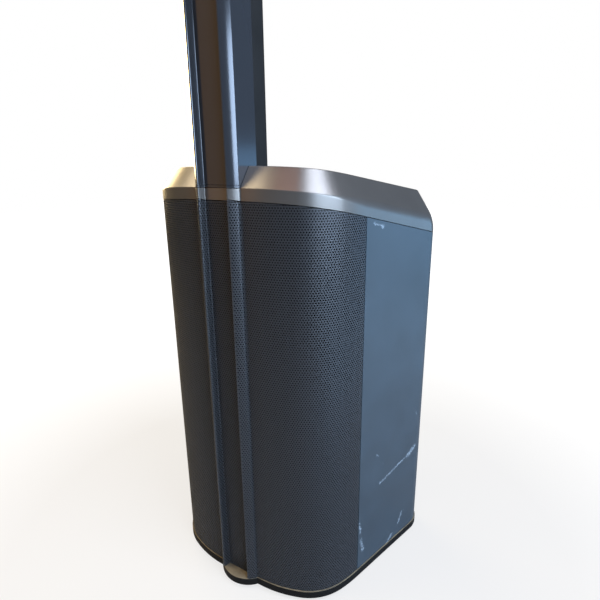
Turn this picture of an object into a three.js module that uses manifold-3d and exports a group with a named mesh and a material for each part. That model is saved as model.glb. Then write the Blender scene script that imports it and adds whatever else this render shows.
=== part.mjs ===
// Column PA system: a subwoofer cabinet that carries a plug-in spacer and a plug-in line array.
// Millimetres, +Z up, the front faces -Y. Plan distances run back from the cabinet's front face,
// and one group at the end centres the whole assembly over its footprint.
import * as THREE from 'three';
import { mergeVertices } from 'three/addons/utils/BufferGeometryUtils.js';
import Module from 'manifold-3d';

const wasm = await Module();
wasm.setup();

// Cabinet, overall
const CABINET_WIDTH = 379.6;
const CABINET_DEPTH = 272;
const CABINET_HEIGHT = 541.5;
const FOOT_HEIGHT = 6;
const FOOT_RADIUS = 14;
const FOOT_CHAMFER = 1.5;
const FRONT_FOOT_SIDE = 91;
const FRONT_FOOT_BACK = 46;
const PLATE_THICKNESS = 12;
const PLATE_LIP = 1.5;
const WALL = 12;
const TOUCH_GAP = 0.3;
const SLIP_GAP = 0.6;

// Cabinet plan: three arcs of growing turn lead from the flat front into the flared side
const FRONT_ARC = { radius: 175, turn: 22, steps: 4 };
const CORNER_ARC = { radius: 78, turn: 44, steps: 7 };
const FLANK_ARC = { radius: 195, turn: 9.25, steps: 2 };
const REAR_ARC = { radius: 40, turn: 104.75, steps: 7 };

// Top cap: an upright band, a steep drafted face, and a top, all falling towards the rear
const PARTING_SLOPE = 0.235;
const CREASE_SLOPE = 0.22;
const TOP_SLOPE = 0.17;
const BAND_HEIGHT = 15;
const CAP_RISE = 27.3;
const DRAFT_ANGLE = 57.5;
const CAP_WALL = 5;

// Column section: two rails on a D-shaped nose, with a flat-bottomed recess between them
const COLUMN_WIDTH = 66.6;
const COLUMN_DEPTH = 65.5;
const COLUMN_SPLIT = 35;
const COLUMN_WALL = 3;
const COLUMN_REAR_RADIUS = 12;
const NOSE_REACH = 15.5;
const RECESS_FLOOR = 37;
const RECESS_MOUTH = 43;
const SPACER_LENGTH = 600;
const ARRAY_LENGTH = 640;
const SPIGOT_WIDTH = 36;
const SPIGOT_DEPTH = 30;
const SPIGOT_LENGTH = 40;
const SPIGOT_BACK = 32;
const END_THICKNESS = 8;

// Front of the cabinet
const GRILLE_END = 89;
const GRILLE_THICKNESS = 1.6;
const GRILLE_REBATE = 4;
const BAFFLE_SETBACK = 58;
const BAFFLE_THICKNESS = 18;
const SHELL_NOSE = 10;
const PORT_RADIUS = 32;
const PORT_WALL = 3;
const PORT_FLANGE = 5;
const PORT_LENGTH = 130;
const PORT_HEIGHT = 46;
const BRACE_THICKNESS = 12;
const BRACE_RIM = 45;
const BOARD_ROOM = 62;

// Woofer: radii of its pieces, and depths behind the baffle's face
const WOOFER_RADIUS = 104;
const WOOFER_SPACING = 9;
const FLANGE_WIDTH = 12;
const FLANGE_THICKNESS = 5;
const BASKET_SHEET = 3.5;
const BASKET_DEPTH = 58;
const MAGNET_RADIUS = 60;
const MAGNET_DEPTH = 30;
const POLE_RADIUS = 24;
const COIL_RADIUS = 25.2;
const COIL_WALL = 1.4;
const COIL_DEPTH = 71;
const CONE_DEPTH = 45;
const ROLL_WIDTH = 16;

// Carry handle in the cap
const HANDLE_LENGTH = 124;
const HANDLE_BAR = 18;
const HANDLE_HEIGHT = 14;
const FINGER_GAP = 27;
const POCKET_DEPTH = 42;
const POCKET_WALL = 4;
const HANDLE_SETBACK = 160;

// Rear amplifier panel
const PANEL_WIDTH = 224;
const PANEL_HEIGHT = 380;
const PANEL_THICKNESS = 3;
const PANEL_MARGIN = 6;
const PANEL_BOTTOM = 52;
const KNOB_RADIUS = 9;
const KNOB_LENGTH = 9;
const BUTTON_RADIUS = 4.5;
const JACK_SIZE = 26;
const JACK_BORE = 8.5;
const JACK_BARREL = 10;
const JACK_RECESS = 15;
const SHAFT_RADIUS = 3;
const SWITCH_PLAY = 0.8;
const INLET_WIDTH = 48;
const INLET_HEIGHT = 28;
const SINK_WIDTH = 168;
const SINK_HEIGHT = 96;
const SINK_FINS = 11;
const SINK_REACH = 9;

// Line array
const DRIVER_COUNT = 6;
const DRIVER_PITCH = 82;
const DRIVER_START = 70;
const DRIVER_HOLE = 22;
const TWEETER_HEIGHT = 88;
const TWEETER_WIDTH = 40;
const ARRAY_BAFFLE_THICKNESS = 3;
const ARRAY_GRILLE_THICKNESS = 1.2;

// Heights and places worked out from the sizes above
const DECK = FOOT_HEIGHT + PLATE_THICKNESS;
const PARTING = DECK + CABINET_HEIGHT;
const CREASE = PARTING + BAND_HEIGHT;
const SHELF = CREASE - SLIP_GAP;
const SPACER_BASE = CREASE;
const SPACER_TOP = SPACER_BASE + SPACER_LENGTH;
const ARRAY_BASE = SPACER_TOP + SLIP_GAP;
const ARRAY_TOP = ARRAY_BASE + ARRAY_LENGTH;
const BACK = CABINET_DEPTH;
const NOSE_HALF = COLUMN_WIDTH / 2;
const NOSE_RADIUS = (NOSE_HALF ** 2 + NOSE_REACH ** 2) / (2 * NOSE_REACH);

const FINISHES = {
  plate: [0x1c1d20, 0.62, 0.1],
  rubber: [0x121212, 0.9, 0],
  shell: [0x30353b, 0.6, 0.05],
  cap: [0x3a3936, 0.35, 0.15],
  steel: [0x18191b, 0.55, 0.6],
  profile: [0x22272d, 0.32, 0.3],
  cover: [0x191b1e, 0.5, 0.1],
  board: [0x241c16, 0.85, 0],
  cone: [0x141414, 0.8, 0],
  magnet: [0x4a4a48, 0.5, 0.7],
  panel: [0x1e1f21, 0.5, 0.5],
  pcb: [0x1e4a2c, 0.6, 0],
  control: [0x0f0f10, 0.55, 0],
};

function finish(name) {
  const [color, roughness, metalness] = FINISHES[name];
  return new THREE.MeshStandardMaterial({ color, roughness, metalness });
}

const assembly = new THREE.Group();

// Turns a solid's faces outwards when its signed volume is negative.
function facedOut(geometry) {
  const bare = geometry.clone();
  bare.deleteAttribute('normal');
  bare.deleteAttribute('uv');
  const merged = mergeVertices(bare, 1e-3);
  const point = merged.getAttribute('position');
  const index = merged.index.array;
  const corners = [new THREE.Vector3(), new THREE.Vector3(), new THREE.Vector3()];
  let volume = 0;
  for (let i = 0; i < index.length; i += 3) {
    corners.forEach((corner, k) => corner.fromBufferAttribute(point, index[i + k]));
    volume += corners[0].dot(corners[1].clone().cross(corners[2]));
  }
  if (volume < 0) {
    for (let i = 0; i < index.length; i += 3) {
      [index[i], index[i + 1]] = [index[i + 1], index[i]];
    }
  }
  return merged;
}

function toManifold(geometry) {
  const merged = facedOut(geometry);
  return new wasm.Manifold(new wasm.Mesh({
    numProp: 3,
    vertProperties: new Float32Array(merged.getAttribute('position').array),
    triVerts: new Uint32Array(merged.index.array),
  }));
}

function toGeometry(manifold) {
  const mesh = manifold.getMesh();
  const geometry = new THREE.BufferGeometry();
  geometry.setAttribute('position', new THREE.BufferAttribute(mesh.vertProperties, 3));
  geometry.setIndex(new THREE.BufferAttribute(mesh.triVerts, 1));
  return geometry;
}

function joined(...solids) {
  return solids.map(toManifold).reduce((sum, next) => sum.add(next));
}

function cut(solid, ...tools) {
  return tools.reduce((rest, tool) => rest.subtract(tool), solid);
}

// Adds one finished piece to the assembly.
function piece(name, shape, finishName, group = assembly) {
  const geometry = shape.isBufferGeometry ? facedOut(shape) : toGeometry(shape);
  const mesh = new THREE.Mesh(geometry, finish(finishName));
  mesh.name = name;
  group.add(mesh);
  return mesh;
}

// Plan outlines -------------------------------------------------------------------------

// Walks tangent arcs from a heading and returns the points, start excluded.
function walkArc(from, heading, arc, inset) {
  const radius = arc.radius - inset;
  const centre = new THREE.Vector2(
    from.x - radius * Math.sin(heading),
    from.y + radius * Math.cos(heading),
  );
  const points = [];
  for (let i = 1; i <= arc.steps; i += 1) {
    const angle = heading + THREE.MathUtils.degToRad((arc.turn * i) / arc.steps);
    points.push(new THREE.Vector2(
      centre.x + radius * Math.sin(angle),
      centre.y - radius * Math.cos(angle),
    ));
  }
  return points;
}

// Right half of the cabinet's plan, from the end of its flat front to the end of its flat rear.
function halfPlan(inset) {
  const turn = (arc) => THREE.MathUtils.degToRad(arc.turn);
  const chain = (start) => {
    let heading = 0;
    let at = start;
    const points = [start];
    for (const arc of [FRONT_ARC, CORNER_ARC, FLANK_ARC]) {
      const next = walkArc(at, heading, arc, inset);
      points.push(...next);
      at = next[next.length - 1];
      heading += turn(arc);
    }
    return { points, at, heading };
  };
  const trial = chain(new THREE.Vector2(0, inset));
  const rearRadius = REAR_ARC.radius - inset;
  const sideDepth = BACK - inset - rearRadius * (1 + Math.cos(trial.heading)) - trial.at.y;
  const sideRun = sideDepth / Math.tan(trial.heading);
  const sideBulge = rearRadius * (1 - Math.sin(trial.heading));
  const flat = CABINET_WIDTH / 2 - inset - trial.at.x - sideRun - sideBulge;
  const { points, at, heading } = chain(new THREE.Vector2(flat, inset));
  const sideEnd = new THREE.Vector2(at.x + sideRun, at.y + sideDepth);
  points.push(sideEnd, ...walkArc(sideEnd, heading, REAR_ARC, inset));
  return points;
}

function mirrored(points) {
  return points.map((p) => new THREE.Vector2(-p.x, p.y)).reverse();
}

function cabinetPlan(inset) {
  const right = halfPlan(inset);
  return [...right, ...mirrored(right)];
}

// Part of the right half plan in front of a given depth, ending exactly on it.
function frontPlan(inset, depth) {
  const right = halfPlan(inset);
  const after = right.findIndex((p) => p.y > depth);
  const a = right[after - 1];
  const b = right[after];
  const share = (depth - a.y) / (b.y - a.y);
  return [...right.slice(0, after), new THREE.Vector2().lerpVectors(a, b, share)];
}

// Moves an open outline sideways by its mitred corners; positive is to the left of its run.
function shifted(points, distance) {
  return points.map((p, i) => {
    const before = points[Math.max(i - 1, 0)];
    const after = points[Math.min(i + 1, points.length - 1)];
    const into = new THREE.Vector2().subVectors(p, before).normalize();
    const away = new THREE.Vector2().subVectors(after, p).normalize();
    if (i === 0) into.copy(away);
    if (i === points.length - 1) away.copy(into);
    const normal = new THREE.Vector2(-into.y - away.y, into.x + away.x).normalize();
    const reach = distance / normal.dot(new THREE.Vector2(-into.y, into.x));
    return p.clone().addScaledVector(normal, reach);
  });
}

// Right half of the nose from its centre line: recess floor, recess wall, rail crown, nose side.
function halfNose(steps = 3) {
  const crownStart = Math.asin((RECESS_MOUTH / 2) / NOSE_RADIUS);
  const crownEnd = Math.asin(NOSE_HALF / NOSE_RADIUS);
  const points = [
    new THREE.Vector2(0, 0),
    new THREE.Vector2(RECESS_FLOOR / 2, 0),
  ];
  for (let i = 0; i <= steps; i += 1) {
    const angle = crownStart + ((crownEnd - crownStart) * i) / steps;
    points.push(new THREE.Vector2(
      NOSE_RADIUS * Math.sin(angle),
      NOSE_RADIUS - NOSE_REACH - NOSE_RADIUS * Math.cos(angle),
    ));
  }
  return points;
}

// Plain D of the tongue that fills the recess too.
function halfTongue(steps = 7) {
  const end = Math.asin(NOSE_HALF / NOSE_RADIUS);
  return Array.from({ length: steps + 1 }, (_, i) => new THREE.Vector2(
    NOSE_RADIUS * Math.sin((end * i) / steps),
    NOSE_RADIUS - NOSE_REACH - NOSE_RADIUS * Math.cos((end * i) / steps),
  ));
}

function columnFront(depth) {
  const right = [...halfNose(), new THREE.Vector2(NOSE_HALF, depth)];
  return [...right, ...mirrored(right).slice(0, -1)];
}

function columnRear(from, depth, inset) {
  const half = NOSE_HALF - inset;
  const radius = COLUMN_REAR_RADIUS - inset;
  const rear = depth - inset;
  const shape = new THREE.Shape();
  shape.moveTo(-half, from);
  shape.lineTo(half, from);
  shape.lineTo(half, rear - radius);
  shape.absarc(half - radius, rear - radius, radius, 0, Math.PI / 2, false);
  shape.lineTo(radius - half, rear);
  shape.absarc(radius - half, rear - radius, radius, Math.PI / 2, Math.PI, false);
  return shape.getPoints(4);
}

// Solid builders ------------------------------------------------------------------------

// Closed shape of an outline, without the points that repeat their neighbour.
function shapeOf(outline) {
  if (outline instanceof THREE.Shape) return outline;
  const apart = (p, i) => p.distanceTo(outline[(i + 1) % outline.length]) > TOUCH_GAP / 10;
  return new THREE.Shape(outline.filter(apart));
}

function prism(outline, bottom, top) {
  const geometry = new THREE.ExtrudeGeometry(shapeOf(outline), {
    depth: top - bottom,
    bevelEnabled: false,
    curveSegments: 8,
  });
  return geometry.translate(0, 0, bottom);
}

// Leans the upper ends of a prism so that they fall towards the rear.
function leanTop(geometry, middle, slope) {
  const point = geometry.getAttribute('position');
  for (let i = 0; i < point.count; i += 1) {
    if (point.getZ(i) > middle) point.setZ(i, point.getZ(i) - slope * point.getY(i));
  }
  return geometry;
}

function boxAt(width, depth, height, x, y, z) {
  return new THREE.BoxGeometry(width, depth, height).translate(x, y, z + height / 2);
}

// A lathe about a line along Y through (x, z); the profile is [radius, depth] pairs.
function turnedAlongY(profile, segments, x, z) {
  const points = profile.map(([r, y]) => new THREE.Vector2(r, y));
  return new THREE.LatheGeometry(points, segments).translate(x, 0, z);
}

function turnedAlongZ(profile, segments, x, y) {
  const points = profile.map(([r, z]) => new THREE.Vector2(r, z));
  return new THREE.LatheGeometry(points, segments).rotateX(Math.PI / 2).translate(x, y, 0);
}

function rod(radius, from, to, x, z, segments = 20) {
  const length = to - from;
  return new THREE.CylinderGeometry(radius, radius, length, segments)
    .translate(x, from + length / 2, z);
}

// Base: plate with its tongue, and four feet ----------------------------------------------

const plateBody = joined(
  prism(cabinetPlan(0), FOOT_HEIGHT, DECK),
  prism([...halfTongue(), new THREE.Vector2(NOSE_HALF, WALL), new THREE.Vector2(-NOSE_HALF, WALL),
    ...mirrored(halfTongue()).slice(0, -1)], FOOT_HEIGHT, DECK),
);
piece('base_plate', plateBody, 'plate');

const FRONT_FOOT = { x: CABINET_WIDTH / 2 - FRONT_FOOT_SIDE, y: FRONT_FOOT_BACK };
const REAR_FOOT = { x: CABINET_WIDTH / 2 - REAR_ARC.radius, y: BACK - REAR_ARC.radius };
const footProfile = [
  [0, 0],
  [FOOT_RADIUS - FOOT_CHAMFER, 0],
  [FOOT_RADIUS, FOOT_CHAMFER],
  [FOOT_RADIUS, FOOT_HEIGHT - TOUCH_GAP],
  [0, FOOT_HEIGHT - TOUCH_GAP],
];
[[-1, FRONT_FOOT], [1, FRONT_FOOT], [-1, REAR_FOOT], [1, REAR_FOOT]].forEach(([side, foot], i) => {
  piece(`foot_${i + 1}`, turnedAlongZ(footProfile, 20, side * foot.x, foot.y), 'rubber');
});

// Cabinet shell: flared sides and flat rear, stepped in behind the grille -------------------

const shellBottom = DECK + TOUCH_GAP;
const shellTop = PARTING - TOUCH_GAP;
const shellMiddle = (shellBottom + shellTop) / 2;
const reach = CABINET_WIDTH + CABINET_DEPTH;
const shellFront = BAFFLE_SETBACK - SHELL_NOSE;

function shellSolid(inset, from, bottom = shellBottom, top = shellTop) {
  const full = toManifold(leanTop(prism(cabinetPlan(inset), bottom, top), shellMiddle, PARTING_SLOPE));
  const ahead = boxAt(2 * reach, reach, 2 * reach, 0, from - reach / 2, -reach / 2);
  return full.subtract(toManifold(ahead));
}

const outerSkin = shellSolid(PLATE_LIP, GRILLE_END);
const innerSkin = shellSolid(PLATE_LIP + GRILLE_REBATE, shellFront);
const hollow = shellSolid(PLATE_LIP + GRILLE_REBATE + WALL, shellFront - 1, 0, 2 * PARTING);
const panelHole = toManifold(boxAt(
  PANEL_WIDTH,
  4 * WALL,
  PANEL_HEIGHT,
  0,
  BACK,
  DECK + PANEL_BOTTOM,
));
piece('cabinet_shell', cut(outerSkin.add(innerSkin), hollow, panelHole), 'shell');

// Baffle, brace and port -------------------------------------------------------------------

const WOOFER_CUTOUT = WOOFER_RADIUS - FLANGE_WIDTH;
const LOWER_WOOFER = PORT_HEIGHT + PORT_RADIUS + PORT_WALL + 2 * PORT_FLANGE + WOOFER_RADIUS;
const WOOFER_HEIGHTS = [LOWER_WOOFER, LOWER_WOOFER + 2 * WOOFER_RADIUS + WOOFER_SPACING];
const baffleInset = PLATE_LIP + GRILLE_REBATE + WALL + TOUCH_GAP;
const baffleHalf = frontPlan(baffleInset, BAFFLE_SETBACK).at(-1).x;
const baffleTop = shellTop - PARTING_SLOPE * (BAFFLE_SETBACK + BAFFLE_THICKNESS);
const baffleMiddle = BAFFLE_SETBACK + BAFFLE_THICKNESS / 2;
const baffleBody = toManifold(boxAt(
  2 * baffleHalf,
  BAFFLE_THICKNESS,
  baffleTop - shellBottom,
  0,
  baffleMiddle,
  shellBottom,
));
const wooferHoles = WOOFER_HEIGHTS.map((height) => toManifold(rod(
  WOOFER_CUTOUT,
  BAFFLE_SETBACK - 1,
  BAFFLE_SETBACK + BAFFLE_THICKNESS + 1,
  0,
  DECK + height,
  32,
)));
const portHole = toManifold(rod(
  PORT_RADIUS + PORT_WALL + TOUCH_GAP,
  BAFFLE_SETBACK - 1,
  BAFFLE_SETBACK + BAFFLE_THICKNESS + 1,
  0,
  DECK + PORT_HEIGHT,
  28,
));
piece('baffle', cut(baffleBody, ...wooferHoles, portHole), 'board');

const portRear = BAFFLE_SETBACK + PORT_LENGTH;
piece('port_tube', turnedAlongY([
  [PORT_RADIUS, BAFFLE_SETBACK - 2],
  [PORT_RADIUS + 2, BAFFLE_SETBACK - 3],
  [PORT_RADIUS + PORT_WALL + PORT_FLANGE, BAFFLE_SETBACK - 3],
  [PORT_RADIUS + PORT_WALL + PORT_FLANGE, BAFFLE_SETBACK - TOUCH_GAP],
  [PORT_RADIUS + PORT_WALL, BAFFLE_SETBACK - TOUCH_GAP],
  [PORT_RADIUS + PORT_WALL, portRear],
  [PORT_RADIUS, portRear],
  [PORT_RADIUS, BAFFLE_SETBACK - 2],
], 28, 0, DECK + PORT_HEIGHT), 'control');

const braceFront = BAFFLE_SETBACK + BAFFLE_THICKNESS + TOUCH_GAP;
const braceRear = BACK - PLATE_LIP - WALL - BOARD_ROOM;
const braceHeight = DECK + (WOOFER_HEIGHTS[0] + WOOFER_HEIGHTS[1]) / 2;
const braceWidth = 2 * frontPlan(baffleInset, braceFront).at(-1).x;
const braceBody = toManifold(boxAt(
  braceWidth,
  braceRear - braceFront,
  BRACE_THICKNESS,
  0,
  (braceFront + braceRear) / 2,
  braceHeight - BRACE_THICKNESS / 2,
));
const braceWindow = toManifold(boxAt(
  braceWidth - 2 * BRACE_RIM,
  braceRear - braceFront - BRACE_RIM,
  2 * BRACE_THICKNESS,
  0,
  (braceFront + braceRear) / 2,
  braceHeight - BRACE_THICKNESS,
));
piece('brace', braceBody.subtract(braceWindow), 'board');

// Woofers: basket, motor and the moving cone with its voice coil -----------------------------

const surroundEdge = WOOFER_CUTOUT - ROLL_WIDTH / 2 - TOUCH_GAP;
const coneNeck = POLE_RADIUS + SLIP_GAP;
const coilOuter = COIL_RADIUS + COIL_WALL;
const magnetFront = BASKET_DEPTH + TOUCH_GAP;
const sheet = 2;
WOOFER_HEIGHTS.forEach((height, i) => {
  const z = DECK + height;
  const at = (profile) => profile.map(([r, y]) => [r, BAFFLE_SETBACK + y]);
  const inner = WOOFER_CUTOUT - 1;
  const flangeFace = -FLANGE_THICKNESS - TOUCH_GAP;
  const collar = MAGNET_RADIUS - BASKET_SHEET;
  piece(`woofer_${i + 1}_basket`, turnedAlongY(at([
    [surroundEdge + BASKET_SHEET, flangeFace],
    [WOOFER_RADIUS, flangeFace],
    [WOOFER_RADIUS, -TOUCH_GAP],
    [inner, -TOUCH_GAP],
    [inner, CONE_DEPTH / 4],
    [MAGNET_RADIUS, BASKET_DEPTH],
    [COIL_RADIUS + ROLL_WIDTH, BASKET_DEPTH],
    [COIL_RADIUS + ROLL_WIDTH, BASKET_DEPTH - BASKET_SHEET],
    [collar, BASKET_DEPTH - BASKET_SHEET],
    [inner - BASKET_SHEET, CONE_DEPTH / 4 - BASKET_SHEET],
    [inner - BASKET_SHEET, -sheet],
    [surroundEdge + BASKET_SHEET, flangeFace],
  ]), 28, 0, z), 'steel');
  piece(`woofer_${i + 1}_motor`, turnedAlongY(at([
    [0, magnetFront + 4],
    [POLE_RADIUS, magnetFront + 4],
    [POLE_RADIUS, magnetFront + 22],
    [coilOuter + 1, magnetFront + 22],
    [coilOuter + 1, magnetFront],
    [MAGNET_RADIUS, magnetFront],
    [MAGNET_RADIUS, magnetFront + MAGNET_DEPTH],
    [0, magnetFront + MAGNET_DEPTH],
  ]), 28, 0, z), 'magnet');
  piece(`woofer_${i + 1}_cone`, turnedAlongY(at([
    [0, CONE_DEPTH - 8],
    [coneNeck / 2, CONE_DEPTH - 6],
    [coneNeck, CONE_DEPTH],
    [surroundEdge - BASKET_SHEET, 1],
    [surroundEdge, 0],
    [surroundEdge, sheet],
    [surroundEdge - BASKET_SHEET + 0.6, sheet + 1],
    [coilOuter, CONE_DEPTH + sheet + 0.5],
    [coilOuter, COIL_DEPTH],
    [COIL_RADIUS, COIL_DEPTH],
    [COIL_RADIUS, CONE_DEPTH + sheet],
    [coneNeck / 2, CONE_DEPTH - 3],
    [0, CONE_DEPTH - 5],
  ]), 28, 0, z), 'cone');
});

// Front grille: one steel sheet bent round the nose, the front and both corners ---------------

const grilleEdge = GRILLE_END - TOUCH_GAP - GRILLE_THICKNESS / 2;
const besideNose = frontPlan(PLATE_LIP, grilleEdge).filter((p) => p.x > NOSE_HALF + TOUCH_GAP);
const grilleHalf = [...halfNose(), ...besideNose];
const grilleOuter = [...mirrored(grilleHalf).slice(0, -1), ...grilleHalf];
const grilleInner = shifted(grilleOuter, GRILLE_THICKNESS).reverse();
piece(
  'front_grille',
  leanTop(prism([...grilleOuter, ...grilleInner], shellBottom, shellTop), shellMiddle, PARTING_SLOPE),
  'steel',
);

// Top cap ------------------------------------------------------------------------------------

const CAP_TOP = CREASE + CAP_RISE;
const draftRun = 34;
const draftRise = draftRun * Math.tan(THREE.MathUtils.degToRad(DRAFT_ANGLE));
const skirt = 60;

// Everything under a plane that passes the given height at the front face.
function under(height, slope) {
  const block = boxAt(2 * reach, 2 * reach, 2 * PARTING, 0, 0, height - 2 * PARTING);
  return toManifold(leanTop(block, height - 1, slope));
}

const hip = new THREE.ExtrudeGeometry(shapeOf(cabinetPlan(PLATE_LIP)), {
  depth: skirt,
  bevelEnabled: true,
  bevelSize: draftRun,
  bevelOffset: -draftRun,
  bevelThickness: draftRise,
  bevelSegments: 1,
}).translate(0, 0, CREASE - skirt);
const capBlock = toManifold(leanTop(hip, -1, CREASE_SLOPE))
  .intersect(under(CAP_TOP, TOP_SLOPE))
  .add(toManifold(prism(columnFront(COLUMN_SPLIT), PARTING - skirt, SHELF)))
  .subtract(under(PARTING, PARTING_SLOPE));
const columnNotch = toManifold(prism(
  columnRear(-2 * NOSE_REACH, COLUMN_DEPTH, -SLIP_GAP),
  SHELF,
  SHELF + skirt,
));
const plugSeat = 8;
const spigotRoom = SPIGOT_LENGTH + 2;
const socketBottom = SHELF - spigotRoom - plugSeat;

function spigotBox(grow, bottom, top) {
  return boxAt(SPIGOT_WIDTH + 2 * grow, SPIGOT_DEPTH + 2 * grow, top - bottom, 0, SPIGOT_BACK, bottom);
}

const handleTop = CAP_TOP - TOP_SLOPE * (HANDLE_SETBACK + HANDLE_BAR / 2) - 2;
const pocketWidth = 2 * FINGER_GAP + HANDLE_BAR;
const pocketFloor = handleTop - POCKET_DEPTH;
const pocketBox = (grow, bottom) => boxAt(
  HANDLE_LENGTH + 2 * grow,
  pocketWidth + 2 * grow,
  skirt + POCKET_DEPTH,
  0,
  HANDLE_SETBACK,
  bottom,
);
const lowCavity = toManifold(prism(cabinetPlan(PLATE_LIP + CAP_WALL), 0, 2 * PARTING))
  .intersect(under(CREASE - CAP_WALL / 2, CREASE_SLOPE));
const highCavity = toManifold(prism(cabinetPlan(PLATE_LIP + CAP_WALL + draftRun / 2), 0, 2 * PARTING))
  .intersect(under(CAP_TOP - CAP_WALL, TOP_SLOPE));
const keptForColumn = toManifold(boxAt(
  COLUMN_WIDTH + 2 * CAP_WALL,
  COLUMN_DEPTH + CAP_WALL + NOSE_REACH,
  skirt,
  0,
  (COLUMN_DEPTH + CAP_WALL - NOSE_REACH) / 2,
  SHELF - plugSeat,
));
const keptForSocket = toManifold(spigotBox(POCKET_WALL, socketBottom - POCKET_WALL, SHELF));
const keptForHandle = toManifold(pocketBox(POCKET_WALL, pocketFloor - POCKET_WALL));
const cavity = lowCavity.add(highCavity);
const capShell = cut(
  capBlock.subtract(cut(cavity, keptForColumn, keptForSocket, keptForHandle))
    .add(keptForSocket),
  columnNotch,
  toManifold(spigotBox(SLIP_GAP, socketBottom, SHELF + 1)),
  toManifold(pocketBox(0, pocketFloor)),
);
piece('top_cap', capShell, 'cap');

const barShape = new THREE.Shape();
barShape.absellipse(HANDLE_SETBACK, 0, HANDLE_BAR / 2, HANDLE_HEIGHT / 2, 0, 2 * Math.PI, false);
const barLength = HANDLE_LENGTH - 2 * TOUCH_GAP;
const bar = new THREE.ExtrudeGeometry(barShape, {
  depth: barLength,
  bevelEnabled: false,
  curveSegments: 8,
});
bar.rotateY(Math.PI / 2).rotateX(Math.PI / 2);
bar.computeBoundingBox();
const barMiddle = bar.boundingBox.getCenter(new THREE.Vector3());
bar.translate(-barMiddle.x, HANDLE_SETBACK - barMiddle.y, handleTop - HANDLE_HEIGHT / 2 - barMiddle.z);
piece('carry_handle', bar, 'rubber');

piece('column_socket', boxAt(
  SPIGOT_WIDTH - 10,
  SPIGOT_DEPTH - 10,
  plugSeat - 2,
  0,
  SPIGOT_BACK,
  socketBottom + TOUCH_GAP,
), 'control');

// Amplifier panel and what it carries ----------------------------------------------------------

const panelBack = BACK - PLATE_LIP - GRILLE_REBATE - WALL - TOUCH_GAP;
const panelFront = panelBack - PANEL_THICKNESS;
const panelBase = DECK + PANEL_BOTTOM;
const SOCKETS = [
  { name: 'combo_jack_1', x: 84, up: 128 },
  { name: 'combo_jack_2', x: 48, up: 128 },
  { name: 'link_jack', x: 12, up: 128 },
];
const KNOBS = [
  { name: 'channel_1_knob', x: 84, up: 176 },
  { name: 'channel_2_knob', x: 48, up: 176 },
  { name: 'sub_level_knob', x: 12, up: 176 },
];
const BUTTONS = [
  { name: 'mode_button', x: -34, up: 172 },
  { name: 'pair_button', x: -62, up: 172 },
];
const INLET = { x: 58, up: 40 };
const SWITCH = { x: 8, up: 40, width: 14, height: 21 };
const DISPLAY = { x: -48, up: 200, width: 46, height: 24 };
const inletBody = { width: INLET_WIDTH - 18, height: INLET_HEIGHT - 6, depth: 24 };
const through = (radius, place) => toManifold(rod(
  radius,
  panelFront - 1,
  panelBack + 1,
  place.x,
  panelBase + place.up,
));
const slotThrough = (width, height, place) => toManifold(boxAt(
  width,
  3 * PANEL_THICKNESS,
  height,
  place.x,
  panelFront,
  panelBase + place.up - height / 2,
));
const panelPlate = toManifold(boxAt(
  PANEL_WIDTH + 2 * PANEL_MARGIN,
  PANEL_THICKNESS,
  PANEL_HEIGHT + 2 * PANEL_MARGIN,
  0,
  panelBack - PANEL_THICKNESS / 2,
  panelBase - PANEL_MARGIN,
));
piece('amplifier_panel', cut(
  panelPlate,
  ...SOCKETS.map((socket) => through(JACK_BARREL + TOUCH_GAP, socket)),
  ...KNOBS.map((knob) => through(SHAFT_RADIUS + TOUCH_GAP, knob)),
  ...BUTTONS.map((button) => through(BUTTON_RADIUS + TOUCH_GAP, button)),
  slotThrough(inletBody.width + 2 * TOUCH_GAP, inletBody.height + 2 * TOUCH_GAP, INLET),
  slotThrough(SWITCH.width + 2 * SWITCH_PLAY, SWITCH.height + 2 * SWITCH_PLAY, SWITCH),
), 'panel');

for (const socket of SOCKETS) {
  const z = panelBase + socket.up;
  const flange = boxAt(JACK_SIZE, 2.5, JACK_SIZE, socket.x, panelBack + TOUCH_GAP + 1.25, z - JACK_SIZE / 2);
  const barrel = rod(JACK_BARREL, panelFront - JACK_RECESS, panelBack + 1, socket.x, z);
  const bore = rod(JACK_BORE, panelFront - JACK_RECESS + 3, panelBack + 5, socket.x, z);
  piece(socket.name, joined(flange, barrel).subtract(toManifold(bore)), 'control');
}

for (const knob of KNOBS) {
  const z = panelBase + knob.up;
  const skirtRadius = KNOB_RADIUS + 1;
  const knobFoot = panelBack + TOUCH_GAP;
  const shape = turnedAlongY([
    [0, panelFront - 8],
    [SHAFT_RADIUS, panelFront - 8],
    [SHAFT_RADIUS, knobFoot],
    [skirtRadius, knobFoot],
    [skirtRadius, knobFoot + 2],
    [KNOB_RADIUS, knobFoot + 3],
    [KNOB_RADIUS - 1, knobFoot + KNOB_LENGTH],
    [0, knobFoot + KNOB_LENGTH],
  ], 20, knob.x, z);
  const groove = boxAt(1.2, 2, KNOB_RADIUS, knob.x, knobFoot + KNOB_LENGTH, z);
  piece(knob.name, toManifold(shape).subtract(toManifold(groove)), 'control');
}

for (const button of BUTTONS) {
  const proud = 4;
  piece(button.name, rod(
    BUTTON_RADIUS,
    panelFront - 5,
    panelBack + proud,
    button.x,
    panelBase + button.up,
    16,
  ), 'rubber');
}

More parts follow.
